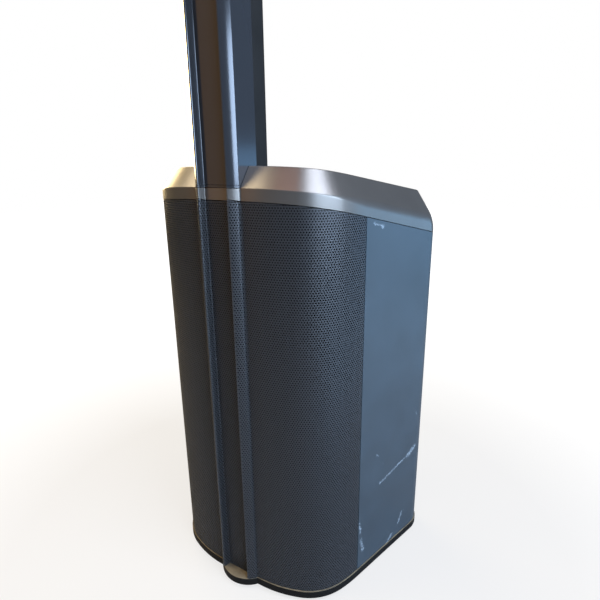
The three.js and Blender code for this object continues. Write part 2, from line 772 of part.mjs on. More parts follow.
const inletZ = panelBase + INLET.up;
const inletFlange = boxAt(
  INLET_WIDTH,
  3,
  INLET_HEIGHT,
  INLET.x,
  panelBack + TOUCH_GAP + 1.5,
  inletZ - INLET_HEIGHT / 2,
);
const inletBarrel = boxAt(
  inletBody.width,
  inletBody.depth,
  inletBody.height,
  INLET.x,
  panelBack + 1 - inletBody.depth / 2,
  inletZ - inletBody.height / 2,
);
const inletHollow = boxAt(
  inletBody.width - 4,
  inletBody.depth,
  inletBody.height - 4,
  INLET.x,
  panelBack + 5 - inletBody.depth / 2,
  inletZ - inletBody.height / 2 + 2,
);
piece('mains_inlet', joined(inletFlange, inletBarrel).subtract(toManifold(inletHollow)), 'control');

const rockerShape = new THREE.Shape();
rockerShape.moveTo(-SWITCH.height / 2, 2.4);
rockerShape.lineTo(0, 1.2);
rockerShape.lineTo(SWITCH.height / 2, 2.4);
rockerShape.lineTo(SWITCH.height / 2 - 2, -7);
rockerShape.lineTo(2 - SWITCH.height / 2, -7);
const rocker = new THREE.ExtrudeGeometry(rockerShape, { depth: SWITCH.width, bevelEnabled: false });
rocker.rotateY(-Math.PI / 2).rotateX(Math.PI).translate(SWITCH.width / 2, 0, 0);
piece('power_switch', rocker, 'control')
  .position.set(SWITCH.x, panelBack, panelBase + SWITCH.up);

piece('display_window', boxAt(
  DISPLAY.width,
  2,
  DISPLAY.height,
  DISPLAY.x,
  panelBack + TOUCH_GAP + 1,
  panelBase + DISPLAY.up,
), 'control');

const finPitch = SINK_WIDTH / (SINK_FINS - 0.5);
const sinkShape = new THREE.Shape();
const sinkFace = panelBack + TOUCH_GAP;
sinkShape.moveTo(-SINK_WIDTH / 2, sinkFace);
sinkShape.lineTo(SINK_WIDTH / 2, sinkFace);
for (let i = 0; i < SINK_FINS; i += 1) {
  const x = SINK_WIDTH / 2 - i * finPitch;
  sinkShape.lineTo(x, sinkFace + 2 + SINK_REACH);
  sinkShape.lineTo(x - finPitch / 2, sinkFace + 2 + SINK_REACH);
  if (i < SINK_FINS - 1) {
    sinkShape.lineTo(x - finPitch / 2, sinkFace + 2);
    sinkShape.lineTo(x - finPitch, sinkFace + 2);
  }
}
const sinkBase = panelBase + PANEL_HEIGHT - SINK_HEIGHT - 12;
piece('heat_sink', prism(sinkShape, sinkBase, sinkBase + SINK_HEIGHT), 'panel');

const boardFace = panelFront - inletBody.depth;
const boardThickness = 1.6;

// A circuit board parallel to the panel, with its tall components facing the cabinet's inside.
function circuitBoard(name, width, height, bottom, blocks) {
  const board = boxAt(width, boardThickness, height, 0, boardFace, bottom);
  const parts = blocks.map(([x, up, w, d, h]) => boxAt(w, d, h, x, boardFace - d / 2, bottom + up));
  piece(name, joined(board, ...parts), 'pcb');
}

circuitBoard('amplifier_board', 170, 130, panelBase + 216, [
  [-50, 20, 24, 26, 34],
  [0, 30, 30, 22, 30],
  [50, 20, 24, 26, 34],
  [0, 80, 90, 12, 20],
]);
circuitBoard('power_supply', 190, 92, panelBase + 10, [
  [-70, 14, 26, 32, 50],
  [-36, 14, 26, 32, 50],
  [20, 20, 44, 34, 46],
]);

// Column sections ---------------------------------------------------------------------------------

function wholeNose(steps) {
  return [...mirrored(halfNose(steps)).slice(0, -1), ...halfNose(steps)];
}

function frontPath(steps) {
  return [
    new THREE.Vector2(-NOSE_HALF, COLUMN_SPLIT - TOUCH_GAP),
    ...wholeNose(steps),
    new THREE.Vector2(NOSE_HALF, COLUMN_SPLIT - TOUCH_GAP),
  ];
}

const rearPath = [
  ...columnRear(COLUMN_SPLIT, COLUMN_DEPTH, 0).slice(1),
  new THREE.Vector2(-NOSE_HALF, COLUMN_SPLIT),
];

function channel(path, thickness, bottom, top) {
  return prism([...path, ...shifted(path, thickness).reverse()], bottom, top);
}

// Closed section inside the column's walls; its rail crowns are single flats.
function columnCore(inset) {
  const nose = shifted(frontPath(1), inset).slice(1, -1);
  const rear = columnRear(COLUMN_SPLIT, COLUMN_DEPTH, inset).slice(2);
  return [...nose, new THREE.Vector2(NOSE_HALF - inset, COLUMN_SPLIT), ...rear,
    new THREE.Vector2(inset - NOSE_HALF, COLUMN_SPLIT)];
}

const coreInset = COLUMN_WALL + TOUCH_GAP;

// End plug with a spigot that points down into the piece below.
function spigotPlug(name, base, group) {
  const plate = prism(columnCore(coreInset), base, base + END_THICKNESS);
  const spigot = spigotBox(0, base - SPIGOT_LENGTH, base + 1);
  piece(name, joined(plate, spigot), 'control', group);
}

// End plug with a cup that takes the spigot of the piece above.
function socketPlug(name, top, group) {
  const plate = prism(columnCore(coreInset), top - END_THICKNESS, top);
  const cup = spigotBox(COLUMN_WALL, top - spigotRoom - COLUMN_WALL, top - 1);
  const room = spigotBox(SLIP_GAP, top - spigotRoom, top + 1);
  piece(name, joined(plate, cup).subtract(toManifold(room)), 'control', group);
}

const spacer = new THREE.Group();
piece('spacer_profile', channel(frontPath(), COLUMN_WALL, SPACER_BASE, SPACER_TOP), 'profile', spacer);
piece('spacer_rear', channel(rearPath, COLUMN_WALL, SPACER_BASE, SPACER_TOP), 'cover', spacer);
spigotPlug('spacer_foot', SPACER_BASE, spacer);
socketPlug('spacer_head', SPACER_TOP, spacer);
const loomRadius = 4;
const loomBottom = SPACER_BASE + END_THICKNESS + TOUCH_GAP;
const loomTop = SPACER_TOP - spigotRoom - COLUMN_WALL - TOUCH_GAP;
piece('spacer_loom', turnedAlongZ([
  [0, loomBottom],
  [loomRadius, loomBottom],
  [loomRadius, loomTop],
  [0, loomTop],
], 8, 0, SPIGOT_BACK), 'rubber', spacer);
assembly.add(spacer);

// Line array: window in the recess floor, grille, baffle, drivers, tweeter ---------------------------

const array = new THREE.Group();
const endMargin = 20;
const windowLip = 1.5;
const arrayWindow = toManifold(boxAt(
  RECESS_FLOOR - 2 * windowLip,
  3 * COLUMN_WALL,
  ARRAY_LENGTH - 2 * endMargin,
  0,
  COLUMN_WALL / 2,
  ARRAY_BASE + endMargin,
));
const arrayFront = toManifold(channel(frontPath(), COLUMN_WALL, ARRAY_BASE, ARRAY_TOP));
piece('array_profile', arrayFront.subtract(arrayWindow), 'profile', array);
piece('array_rear', channel(rearPath, COLUMN_WALL, ARRAY_BASE, ARRAY_TOP), 'cover', array);
spigotPlug('array_foot', ARRAY_BASE, array);

const capHeight = 4;
piece('array_top_cap', joined(
  prism([...wholeNose(), ...rearPath], ARRAY_TOP + TOUCH_GAP, ARRAY_TOP + capHeight),
  prism(columnCore(coreInset), ARRAY_TOP - END_THICKNESS, ARRAY_TOP + TOUCH_GAP + 1),
), 'control', array);

piece('array_grille', boxAt(
  RECESS_FLOOR - 2 * TOUCH_GAP,
  ARRAY_GRILLE_THICKNESS,
  ARRAY_LENGTH - endMargin,
  0,
  -TOUCH_GAP - ARRAY_GRILLE_THICKNESS / 2,
  ARRAY_BASE + endMargin / 2,
), 'steel', array);

const arrayBaffleFront = COLUMN_WALL + TOUCH_GAP;
const arrayBaffleBack = arrayBaffleFront + ARRAY_BAFFLE_THICKNESS;
const driverFace = arrayBaffleBack + TOUCH_GAP;
const driverHeights = Array.from(
  { length: DRIVER_COUNT },
  (_, i) => ARRAY_BASE + DRIVER_START + i * DRIVER_PITCH,
);
const tweeterHeight = ARRAY_BASE + DRIVER_START + (DRIVER_COUNT - 1) * DRIVER_PITCH
  + (DRIVER_PITCH + TWEETER_HEIGHT) / 2;
const arrayBaffle = toManifold(boxAt(
  COLUMN_WIDTH - 2 * coreInset,
  ARRAY_BAFFLE_THICKNESS,
  ARRAY_LENGTH - 2 * END_THICKNESS - 2,
  0,
  arrayBaffleFront + ARRAY_BAFFLE_THICKNESS / 2,
  ARRAY_BASE + END_THICKNESS + 1,
));
const driverHoles = driverHeights.map((z) => toManifold(rod(
  DRIVER_HOLE,
  arrayBaffleFront - 1,
  arrayBaffleBack + 1,
  0,
  z,
)));
const tweeterHole = toManifold(boxAt(
  TWEETER_WIDTH - 8,
  3 * ARRAY_BAFFLE_THICKNESS,
  TWEETER_HEIGHT - 16,
  0,
  arrayBaffleFront,
  tweeterHeight - TWEETER_HEIGHT / 2 + 8,
));
piece('array_baffle', cut(arrayBaffle, ...driverHoles, tweeterHole), 'board', array);

driverHeights.forEach((z, i) => {
  const at = (profile) => profile.map(([r, y]) => [r, driverFace + y]);
  const rim = DRIVER_HOLE + 1;
  piece(`driver_${i + 1}`, turnedAlongY(at([
    [0, 17],
    [6, 17],
    [6, 28],
    [8.4, 28],
    [8.4, 18],
    [15, 18],
    [rim, 3.2],
    [rim, 0],
    [rim + 4, 0],
    [rim + 4, 2],
    [rim + 1.6, 2],
    [rim + 1.6, 4],
    [17, 19.5],
    [19, 19.5],
    [19, 32],
    [0, 32],
  ]), 16, 0, z), 'steel', array);
  piece(`driver_${i + 1}_cone`, turnedAlongY(at([
    [0, 7],
    [6, 9],
    [20, 1.5],
    [21, 1.5],
    [21, 2.3],
    [20, 2.6],
    [7.7, 11],
    [7.7, 24],
    [6.7, 24],
    [6.7, 10.6],
    [0, 8.2],
  ]), 16, 0, z), 'cone', array);
});

const hornDepth = 22;
const hornBody = boxAt(TWEETER_WIDTH + 14, hornDepth, TWEETER_HEIGHT - 2, 0, driverFace + hornDepth / 2,
  tweeterHeight - TWEETER_HEIGHT / 2 + 1);
const hornMotor = rod(19, driverFace + hornDepth - 1, driverFace + hornDepth + 20, 0, tweeterHeight, 20);
const hornMouth = new THREE.CylinderGeometry(5, 16, hornDepth, 20)
  .scale(1, 1, 2.1)
  .translate(0, driverFace + hornDepth / 2 - 4, tweeterHeight);
piece('tweeter', joined(hornBody, hornMotor).subtract(toManifold(hornMouth)), 'control', array);

const crossoverRoom = 5;
piece('crossover_board', boxAt(
  40,
  boardThickness,
  120,
  0,
  COLUMN_DEPTH - coreInset - crossoverRoom,
  ARRAY_BASE + DRIVER_START,
), 'pcb', array);
assembly.add(array);

assembly.position.y = -(CABINET_DEPTH - NOSE_REACH) / 2;

export default assembly;
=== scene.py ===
import math

import bmesh
import bpy
from mathutils import Matrix, Vector


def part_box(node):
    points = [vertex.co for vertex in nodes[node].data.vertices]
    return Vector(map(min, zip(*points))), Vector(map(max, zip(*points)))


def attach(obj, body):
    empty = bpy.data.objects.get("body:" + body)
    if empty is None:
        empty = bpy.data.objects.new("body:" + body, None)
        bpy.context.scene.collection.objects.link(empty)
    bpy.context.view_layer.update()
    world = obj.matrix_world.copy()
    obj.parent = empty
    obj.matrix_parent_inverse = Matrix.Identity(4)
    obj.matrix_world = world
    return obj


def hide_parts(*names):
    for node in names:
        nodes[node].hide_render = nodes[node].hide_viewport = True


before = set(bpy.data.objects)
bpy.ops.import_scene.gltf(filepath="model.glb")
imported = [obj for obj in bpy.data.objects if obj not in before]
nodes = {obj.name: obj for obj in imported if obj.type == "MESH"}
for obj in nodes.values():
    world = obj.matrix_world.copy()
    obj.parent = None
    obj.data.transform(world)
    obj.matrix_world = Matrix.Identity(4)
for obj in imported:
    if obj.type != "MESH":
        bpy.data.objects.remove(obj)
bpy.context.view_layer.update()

# Studio: a white floor in a white room. A warm wall glows on the left, a wide cool window stands on the
# right, a cool panel behind it lights the cabinet's side, and soft panels overhead light the cap.
MM = 0.001
WARM_WALL = "#d8bf93"
COOL_WALL = "#6f87a3"
ROOM_CEILING = "#a89b88"
ROOM_GLOW = 0.34
FLOOR_SIZE = 12.0
CAMERA_LENS = 28.2
CAMERA_PLACE = (0.3786, -0.5558, 0.603)
CAMERA_TURN = (73.513, 0.692, 31.686)


def linear(code):
    """Turns an sRGB hex colour into the linear colour that the shaders take."""
    channels = [int(code[i:i + 2], 16) / 255 for i in (1, 3, 5)]
    return tuple(c / 12.92 if c <= 0.04045 else ((c + 0.055) / 1.055) ** 2.4 for c in channels) + (1,)


def add(tree, kind, inputs=(), links=(), **settings):
    """Adds a shader node with its settings, its socket values and its links."""
    node = tree.nodes.new("ShaderNode" + kind)
    for name, value in settings.items():
        setattr(node, name, value)
    for socket, value in dict(inputs).items():
        node.inputs[socket].default_value = value
    for socket, source in dict(links).items():
        tree.links.new(source, node.inputs[socket])
    return node


def white_room():
    """A room that the camera sees as plain white, and that lights the object warm to cool."""
    world = bpy.data.worlds.new("white_room")
    world.use_nodes = True
    tree = world.node_tree
    tree.nodes.clear()
    direction = add(tree, "TexCoord")
    axes = add(tree, "SeparateXYZ", links={"Vector": direction.outputs["Generated"]})
    across = add(tree, "MapRange", {"From Min": -0.9, "From Max": 0.6}, {"Value": axes.outputs["X"]})
    upward = add(tree, "MapRange", {"From Min": 0.25, "From Max": 0.95}, {"Value": axes.outputs["Z"]})
    walls = add(tree, "Mix", {"A": linear(WARM_WALL), "B": linear(COOL_WALL)},
                {"Factor": across.outputs["Result"]}, data_type="RGBA")
    room = add(tree, "Mix", {"B": linear(ROOM_CEILING)},
               {"Factor": upward.outputs["Result"], "A": walls.outputs["Result"]}, data_type="RGBA")
    lit = add(tree, "Background", {"Strength": ROOM_GLOW}, {"Color": room.outputs["Result"]})
    seen = add(tree, "Background", {"Color": (1, 1, 1, 1), "Strength": 1.0})
    ray = add(tree, "LightPath")
    both = add(tree, "MixShader",
               links={0: ray.outputs["Is Camera Ray"], 1: lit.outputs[0], 2: seen.outputs[0]})
    add(tree, "OutputWorld", links={"Surface": both.outputs[0]})
    return world


def softbox(name, colour, watts, size, place, aim):
    """A rectangular light that faces its aim."""
    light = bpy.data.lights.new(name, "AREA")
    light.shape = "RECTANGLE"
    light.size, light.size_y = size
    light.energy = watts
    light.color = linear(colour)[:3]
    obj = bpy.data.objects.new(name, light)
    bpy.context.scene.collection.objects.link(obj)
    obj.location = place
    obj.rotation_euler = (Vector(aim) - Vector(place)).to_track_quat("-Z", "Y").to_euler()
    obj.visible_camera = False


def new_material(name):
    """A material with its tree and its main shader."""
    material = bpy.data.materials.new(name)
    material.use_nodes = True
    tree = material.node_tree
    return material, tree, tree.nodes["Principled BSDF"]


def studio_paper():
    """Matt background paper that glows white to the camera far out; near the object the glow is weaker, which
    paints a soft shade round it, and the real shadow shows there too.
    """
    material, tree, shader = new_material("background paper, matt")
    place = add(tree, "TexCoord").outputs["Object"]
    pulp = add(tree, "TexNoise", {"Scale": 3.0, "Detail": 3.0}, {"Vector": place})
    tone = add(tree, "Mix", {"A": linear("#868584"), "B": linear("#8e8d8c")},
               {"Factor": pulp.outputs["Fac"]}, data_type="RGBA")
    tree.links.new(tone.outputs["Result"], shader.inputs["Base Color"])
    shader.inputs["Roughness"].default_value = 0.95
    shader.inputs["Specular IOR Level"].default_value = 0.1
    away = add(tree, "VectorMath", links={0: place}, operation="LENGTH")
    # Painted shade: the camera-only glow falls from full far out to 0.58 near the object, so the floor round
    # it is darker.
    glow_weaker_near_object = add(tree, "MapRange", {"From Min": 0.45, "From Max": 1.3, "To Min": 0.58, "To Max": 1.0},
               {"Value": away.outputs["Value"]})
    ray = add(tree, "LightPath")
    share = add(tree, "Math", links={0: glow_weaker_near_object.outputs["Result"], 1: ray.outputs["Is Camera Ray"]},
                operation="MULTIPLY")
    glow = add(tree, "Emission", {"Color": (1, 1, 1, 1), "Strength": 1.25})
    lit = add(tree, "MixShader", links={0: share.outputs["Value"], 1: shader.outputs[0], 2: glow.outputs[0]})
    tree.links.new(lit.outputs[0], tree.nodes["Material Output"].inputs["Surface"])
    return material


scene = bpy.context.scene
scene.view_settings.view_transform = "Standard"
scene.world = white_room()
softbox("window_right", "#cfe6ff", 92, (2.2, 0.8), (2.1, -0.66, 0.86), (0, 0, 0.6))
softbox("panel_right_rear", "#7fb2dc", 15, (1.8, 0.7), (1.9, 1.75, 0.34), (0.1, 0, 0.2))
softbox("floor_glow_right", "#93c0e6", 9, (1.2, 1.8), (1.25, 0.3, 0.01), (1.25, 0.3, 3))
softbox("wall_left", "#efd4a0", 84, (1.4, 1.0), (-2.05, 0.98, 1.0), (0, 0, 0.7))
softbox("wall_front_left", "#a8743c", 9, (1.2, 1.6), (-1.4, -2.1, 0.95), (0, 0, 0.6))
softbox("ceiling_left", "#eed9b4", 56, (1.4, 1.2), (-1.4, -0.9, 2.2), (0, 0, 0.5))
softbox("ceiling_front", "#e08f66", 7, (1.0, 1.0), (0.05, -1.25, 2.6), (0, 0, 0.5))
softbox("ceiling_right", "#d5deee", 80, (1.3, 1.3), (1.35, -0.25, 2.4), (0, 0, 0.5))

floor_mesh = bmesh.new()
bmesh.ops.create_grid(floor_mesh, x_segments=8, y_segments=8, size=FLOOR_SIZE / 2)
floor_data = bpy.data.meshes.new("studio_floor")
floor_mesh.to_mesh(floor_data)
floor_mesh.free()
floor = bpy.data.objects.new("studio_floor", floor_data)
floor_data.materials.append(studio_paper())
scene.collection.objects.link(floor)

camera_data = bpy.data.cameras.new("camera")
camera_data.lens = CAMERA_LENS
camera_data.sensor_width = 36
camera = bpy.data.objects.new("camera", camera_data)
camera.location = CAMERA_PLACE
camera.rotation_euler = [math.radians(angle) for angle in CAMERA_TURN]
scene.collection.objects.link(camera)
scene.camera = camera

# Base plate: an injection-moulded foot plate under the whole cabinet, with a D-shaped tongue that the
# nose of the grille stands on. Its rim is rounded and pale with dust, which also lies on the tongue.
plate_low, plate_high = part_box("base_plate")
NOSE_REACH = 15.5 * MM
FRONT_FACE = plate_low.y + NOSE_REACH
CABINET_DEPTH = plate_high.y - FRONT_FACE
CABINET_WIDTH = plate_high.x - plate_low.x
DECK = plate_high.z
PLAN_ARCS = [(175 * MM, 22), (78 * MM, 44), (195 * MM, 9.25), (40 * MM, 104.75)]
DEGREES_PER_STEP = 3.6
COLUMN_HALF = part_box("spacer_profile")[1].x
NOSE_RADIUS = (COLUMN_HALF ** 2 + NOSE_REACH ** 2) / (2 * NOSE_REACH)
TINY = 0.001 * MM


def verts_of(geom):
    """The vertices in an operator's result."""
    return [part for part in geom if isinstance(part, bmesh.types.BMVert)]


def half_plan(bm, inset, z, tongue=False):
    """Traces the right half of the cabinet's plan, from the middle of its front to that of its rear."""
    heading, run, depth = 0.0, 0.0, inset
    for radius, turn in PLAN_ARCS[:3]:
        after = heading + math.radians(turn)
        run += (radius - inset) * (math.sin(after) - math.sin(heading))
        depth += (radius - inset) * (math.cos(heading) - math.cos(after))
        heading = after
    rear = PLAN_ARCS[3][0] - inset
    side_depth = CABINET_DEPTH - inset - rear * (1 + math.cos(heading)) - depth
    side_run = side_depth / math.tan(heading)
    flat = CABINET_WIDTH / 2 - inset - run - side_run - rear * (1 - math.sin(heading))
    arcs = [("arc", radius - inset, turn) for radius, turn in PLAN_ARCS]
    if tongue:
        nose = NOSE_RADIUS - inset
        sweep = math.acos((NOSE_RADIUS - NOSE_REACH - inset) / nose)
        start = Vector((0, FRONT_FACE - NOSE_REACH + inset, z))
        moves = [("arc", nose, math.degrees(sweep)), ("line", flat - nose * math.sin(sweep), 0)]
    else:
        start = Vector((0, FRONT_FACE + inset, z))
        moves = [("line", flat, 0)]
    moves += [*arcs[:3], ("line", side_run, side_depth), arcs[3]]
    trail = [bm.verts.new(start)]
    heading = 0.0
    for kind, a, b in moves:
        end = trail[-1]
        if kind == "line":
            step = bmesh.ops.extrude_vert_indiv(bm, verts=[end])["verts"][0]
            step.co += Vector((a, b, 0))
            trail.append(step)
            heading = math.atan2(b, a)
            continue
        centre = end.co + a * Vector((-math.sin(heading), math.cos(heading), 0))
        steps = max(3, round(b / DEGREES_PER_STEP))
        for _ in range(steps):
            spun = bmesh.ops.spin(bm, geom=[trail[-1]], cent=centre, axis=(0, 0, 1), dvec=(0, 0, 0),
                                  angle=math.radians(b) / steps, steps=1)["geom_last"]
            trail += verts_of(spun)
        heading += math.radians(b)
    last = bmesh.ops.extrude_vert_indiv(bm, verts=[trail[-1]])["verts"][0]
    last.co.x = 0
    return trail + [last]


def ring(bm, inset, z, tongue=False):
    """Adds the whole plan outline at one height and returns its edges."""
    trail = half_plan(bm, inset, z, tongue)
    edges = list({edge for vert in trail for edge in vert.link_edges})
    bmesh.ops.mirror(bm, geom=trail + edges, matrix=Matrix.Identity(4), axis="X", merge_dist=TINY)
    return [edge for edge in bm.edges if all(abs(v.co.z - z) < TINY for v in edge.verts)]


def loft(rings, tongue=False):
    """A closed solid through plan outlines, given as pairs of inset and height."""
    bm = bmesh.new()
    loops = [ring(bm, inset, z, tongue) for inset, z in rings]
    for lower, upper in zip(loops, loops[1:]):
        bmesh.ops.bridge_loops(bm, edges=lower + upper)
    for end in (loops[0], loops[-1]):
        bmesh.ops.contextual_create(bm, geom=end)
    bmesh.ops.recalc_face_normals(bm, faces=bm.faces)
    return bm


def level_edges(bm, z):
    """The edges that lie at one height."""
    return [edge for edge in bm.edges if all(abs(v.co.z - z) < TINY for v in edge.verts)]


def rounded(bm, edges, radius, segments=3):
    """Rounds edges in place."""
    bmesh.ops.bevel(bm, geom=edges, offset=radius, offset_type="OFFSET", segments=segments, profile=0.5,
                    affect="EDGES", material=-1, clamp_overlap=True)
    return bm


def finished(name, bm, material, sharp=32, flats=True):
    """Makes one smooth-shaded object at the origin out of a closed mesh, with flats kept flat."""
    bmesh.ops.remove_doubles(bm, verts=bm.verts, dist=TINY)
    bmesh.ops.recalc_face_normals(bm, faces=bm.faces)
    mesh = bpy.data.meshes.new(name)
    bm.to_mesh(mesh)
    bm.free()
    mesh.polygons.foreach_set("use_smooth", [True] * len(mesh.polygons))
    mesh.set_sharp_from_angle(angle=math.radians(sharp))
    mesh.materials.append(material)
    obj = bpy.data.objects.new(name, mesh)
    scene.collection.objects.link(obj)
    if flats:
        obj.modifiers.new("flats", "WEIGHTED_NORMAL").keep_sharp = True
    return obj


def install(piece, body, slot, *replaced):
    """Lets a piece ride on its body and hides the CAD nodes that it stands for; its slot argument is not
    used.
    """
    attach(piece, body)
    if replaced:
        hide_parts(*replaced)
    return piece


def dusty_plate():
    """ABS, satin moulded, black. Floor dust greys its upward faces and settles thickest on the tongue."""
    material, tree, shader = new_material("ABS, satin moulded, dusty")
    place = add(tree, "TexCoord").outputs["Object"]
    grain = add(tree, "TexNoise", {"Scale": 1 / (0.9 * MM), "Detail": 3.0}, {"Vector": place})
    patch = add(tree, "TexNoise", {"Scale": 1 / (14 * MM), "Detail": 6.0}, {"Vector": place})
    facing = add(tree, "NewGeometry")
    up = add(tree, "SeparateXYZ", links={"Vector": facing.outputs["Normal"]})
    level = add(tree, "MapRange", {"From Min": 0.35, "From Max": 0.9}, {"Value": up.outputs["Z"]})
    thick = add(tree, "MapRange", {"From Min": 0.25, "From Max": 0.6, "To Min": 0.45},
                {"Value": patch.outputs["Fac"]})
    dust = add(tree, "Math", links={0: level.outputs["Result"], 1: thick.outputs["Result"]},
               operation="MULTIPLY")
    colour = add(tree, "Mix", {"A": linear("#050607"), "B": linear("#6a6150")},
                 {"Factor": dust.outputs["Value"]}, data_type="RGBA")
    rough = add(tree, "MapRange", {"To Min": 0.55, "To Max": 0.9}, {"Value": dust.outputs["Value"]})
    bump = add(tree, "Bump", {"Strength": 0.25, "Distance": 0.06 * MM}, {"Height": grain.outputs["Fac"]})
    tree.links.new(colour.outputs["Result"], shader.inputs["Base Color"])
    tree.links.new(rough.outputs["Result"], shader.inputs["Roughness"])
    tree.links.new(bump.outputs["Normal"], shader.inputs["Normal"])
    shader.inputs["IOR"].default_value = 1.53
    shader.inputs["Specular IOR Level"].default_value = 0.2
    return material


plate_solid = loft([(0, plate_low.z), (0, DECK)], tongue=True)
rounded(plate_solid, level_edges(plate_solid, DECK), 1.3 * MM)
rounded(plate_solid, level_edges(plate_solid, plate_low.z), 2.5 * MM)
install(finished("base_plate_moulding", plate_solid, dusty_plate()), "cabinet", "plate", "base_plate")

# Rubber feet: four turned buttons of vulcanised rubber, each with a countersunk hole up the middle for
# the steel screw that holds it to the base plate; the screw itself is not drawn.
FOOT_SCREW = 3.6 * MM
FOOT_DISH = 6.5 * MM
FOOT_EDGE = 1.4 * MM


def turned(profile, axis, at, segments=32):
    """A closed solid: a profile of radius and height pairs, spun once round an axis through a point."""
    bm = bmesh.new()
    along = Vector(axis)
    across = along.orthogonal().normalized()
    verts = [bm.verts.new(Vector(at) + across * radius + along * height) for radius, height in profile]
    edges = [bm.edges.new(pair) for pair in zip(verts, verts[1:])]
    bmesh.ops.spin(bm, geom=verts + edges, cent=at, axis=along, dvec=(0, 0, 0), angle=2 * math.pi,
                   steps=segments, use_merge=True)
    bmesh.ops.remove_doubles(bm, verts=bm.verts, dist=TINY)
    return bm


def moulded_rubber(name):
    """A matt black rubber with a greyish bloom and a fine pitting from the mould."""
    material, tree, shader = new_material(name)
    place = add(tree, "TexCoord").outputs["Object"]
    pits = add(tree, "TexNoise", {"Scale": 1 / (0.7 * MM), "Detail": 4.0}, {"Vector": place})
    bloom = add(tree, "TexNoise", {"Scale": 1 / (9 * MM), "Detail": 5.0}, {"Vector": place})
    colour = add(tree, "Mix", {"A": linear("#0e0e0f"), "B": linear("#232322")},
                 {"Factor": bloom.outputs["Fac"]}, data_type="RGBA")
    bump = add(tree, "Bump", {"Strength": 0.35, "Distance": 0.08 * MM}, {"Height": pits.outputs["Fac"]})
    tree.links.new(colour.outputs["Result"], shader.inputs["Base Color"])
    tree.links.new(bump.outputs["Normal"], shader.inputs["Normal"])
    shader.inputs["Roughness"].default_value = 0.82
    return material


def blackened_steel():
    """Steel, black oxide finish, as on the screws: dark, with a low oily sheen and turning marks."""
    material, tree, shader = new_material("steel, black oxide")
    place = add(tree, "TexCoord").outputs["Object"]
    marks = add(tree, "TexNoise", {"Scale": 1 / (0.5 * MM), "Detail": 2.0}, {"Vector": place})
    rough = add(tree, "MapRange", {"To Min": 0.28, "To Max": 0.5}, {"Value": marks.outputs["Fac"]})
    tree.links.new(rough.outputs["Result"], shader.inputs["Roughness"])
    shader.inputs["Base Color"].default_value = linear("#3a3a3c")
    shader.inputs["Metallic"].default_value = 1.0
    return material


rubber = moulded_rubber("vulcanised rubber, matt")
black_steel = blackened_steel()
for number in (1, 2, 3, 4):
    low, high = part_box(f"foot_{number}")
    middle = (low + high) / 2
    radius = (high.x - low.x) / 2
    height = high.z - low.z
    foot = turned([
        (FOOT_SCREW, 3 * MM), (FOOT_DISH, 0.6 * MM), (FOOT_DISH + 1 * MM, 0), (radius - FOOT_EDGE, 0),
        (radius - 0.3 * MM, 0.5 * MM), (radius, FOOT_EDGE), (radius, height), (FOOT_SCREW, height),
        (FOOT_SCREW, 3 * MM),
    ], (0, 0, 1), (middle.x, middle.y, low.z))
    install(finished(f"rubber_foot_{number}", foot, rubber), "cabinet", "rubber", f"foot_{number}")

# Cabinet shell: a moulded half-shell of ABS that forms the flared sides and the rear, stepped in
# behind the grille's edges and open at the rear for the amplifier panel. Its fine sprayed texture is
# scuffed pale on the right flank and along the lower corner.
PLATE_LIP = 1.5 * MM
GRILLE_REBATE = 4 * MM
WALL = 12 * MM
PARTING_SLOPE = 0.235
shell_low, shell_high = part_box("cabinet_shell")
shell_front = shell_low.y
grille_low, grille_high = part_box("front_grille")
GRILLE_END = 89 * MM
PARTING = grille_high.z + PARTING_SLOPE * (grille_low.y - FRONT_FACE)
PANEL_RADIUS = 6 * MM
panel_low, panel_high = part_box("amplifier_panel")
PANEL_MARGIN = 6 * MM


def cut_off(bm, point, normal):
    """Cuts a mesh along a plane and takes away what the normal points at."""
    bmesh.ops.bisect_plane(bm, geom=bm.verts[:] + bm.edges[:] + bm.faces[:], dist=TINY,
                           plane_co=point, plane_no=normal, clear_outer=True)


def trimmed(bm, point, normal):
    """Cuts a closed solid as cut_off does, and closes the cut."""
    cut_off(bm, point, normal)
    bmesh.ops.holes_fill(bm, edges=[edge for edge in bm.edges if edge.is_boundary])
    return bm


def combined(base, tool, how="DIFFERENCE"):
    """Cuts one closed mesh by another, or joins them."""
    pair = []
    for solid in (base, tool):
        mesh = bpy.data.meshes.new("blank")
        bmesh.ops.recalc_face_normals(solid, faces=solid.faces)
        solid.to_mesh(mesh)
        solid.free()
        pair.append(bpy.data.objects.new("blank", mesh))
        scene.collection.objects.link(pair[-1])
    cut = pair[0].modifiers.new("cut", "BOOLEAN")
    cut.operation, cut.solver, cut.object = how, "EXACT", pair[1]
    result = bmesh.new()
    result.from_object(pair[0], bpy.context.evaluated_depsgraph_get())
    for blank in pair:
        mesh = blank.data
        bpy.data.objects.remove(blank)
        bpy.data.meshes.remove(mesh)
    return result


def block(low, high, radius=0.0, axis=2, segments=4):
    """A closed box between two corners, with the edges that run along one axis rounded."""
    low, high = Vector(low), Vector(high)
    bm = bmesh.new()
    bmesh.ops.create_cube(bm, size=1)
    bmesh.ops.scale(bm, vec=high - low, verts=bm.verts)
    bmesh.ops.translate(bm, vec=(low + high) / 2, verts=bm.verts)
    if radius:
        along = [e for e in bm.edges if abs((e.verts[0].co - e.verts[1].co)[axis]) > TINY]
        rounded(bm, along, radius, segments)
    return bm


def parting_cut(bm, height, slope=PARTING_SLOPE):
    """Takes away what lies above a plane that falls to the rear from a height at the front face."""
    return trimmed(bm, (0, FRONT_FACE, height), Vector((0, slope, 1)).normalized())


# Scuffs on the right flank: both ends as depth and height in millimetres, and the width.
SCUFFS = [((11, 148), (91, 164), 2.2), ((80, 162), (96, 169), 5.5), ((71, 60), (63, 42), 2.6),
          ((46, 31), (35, 22), 4.0), ((-29, 72), (-24, 50), 3.5), ((-33, 104), (-30, 86), 2.2),
          ((95, 231), (97, 227), 1.6), ((1, 200), (4, 198), 1.6), ((-21, 534), (-3, 529), 1.8)]


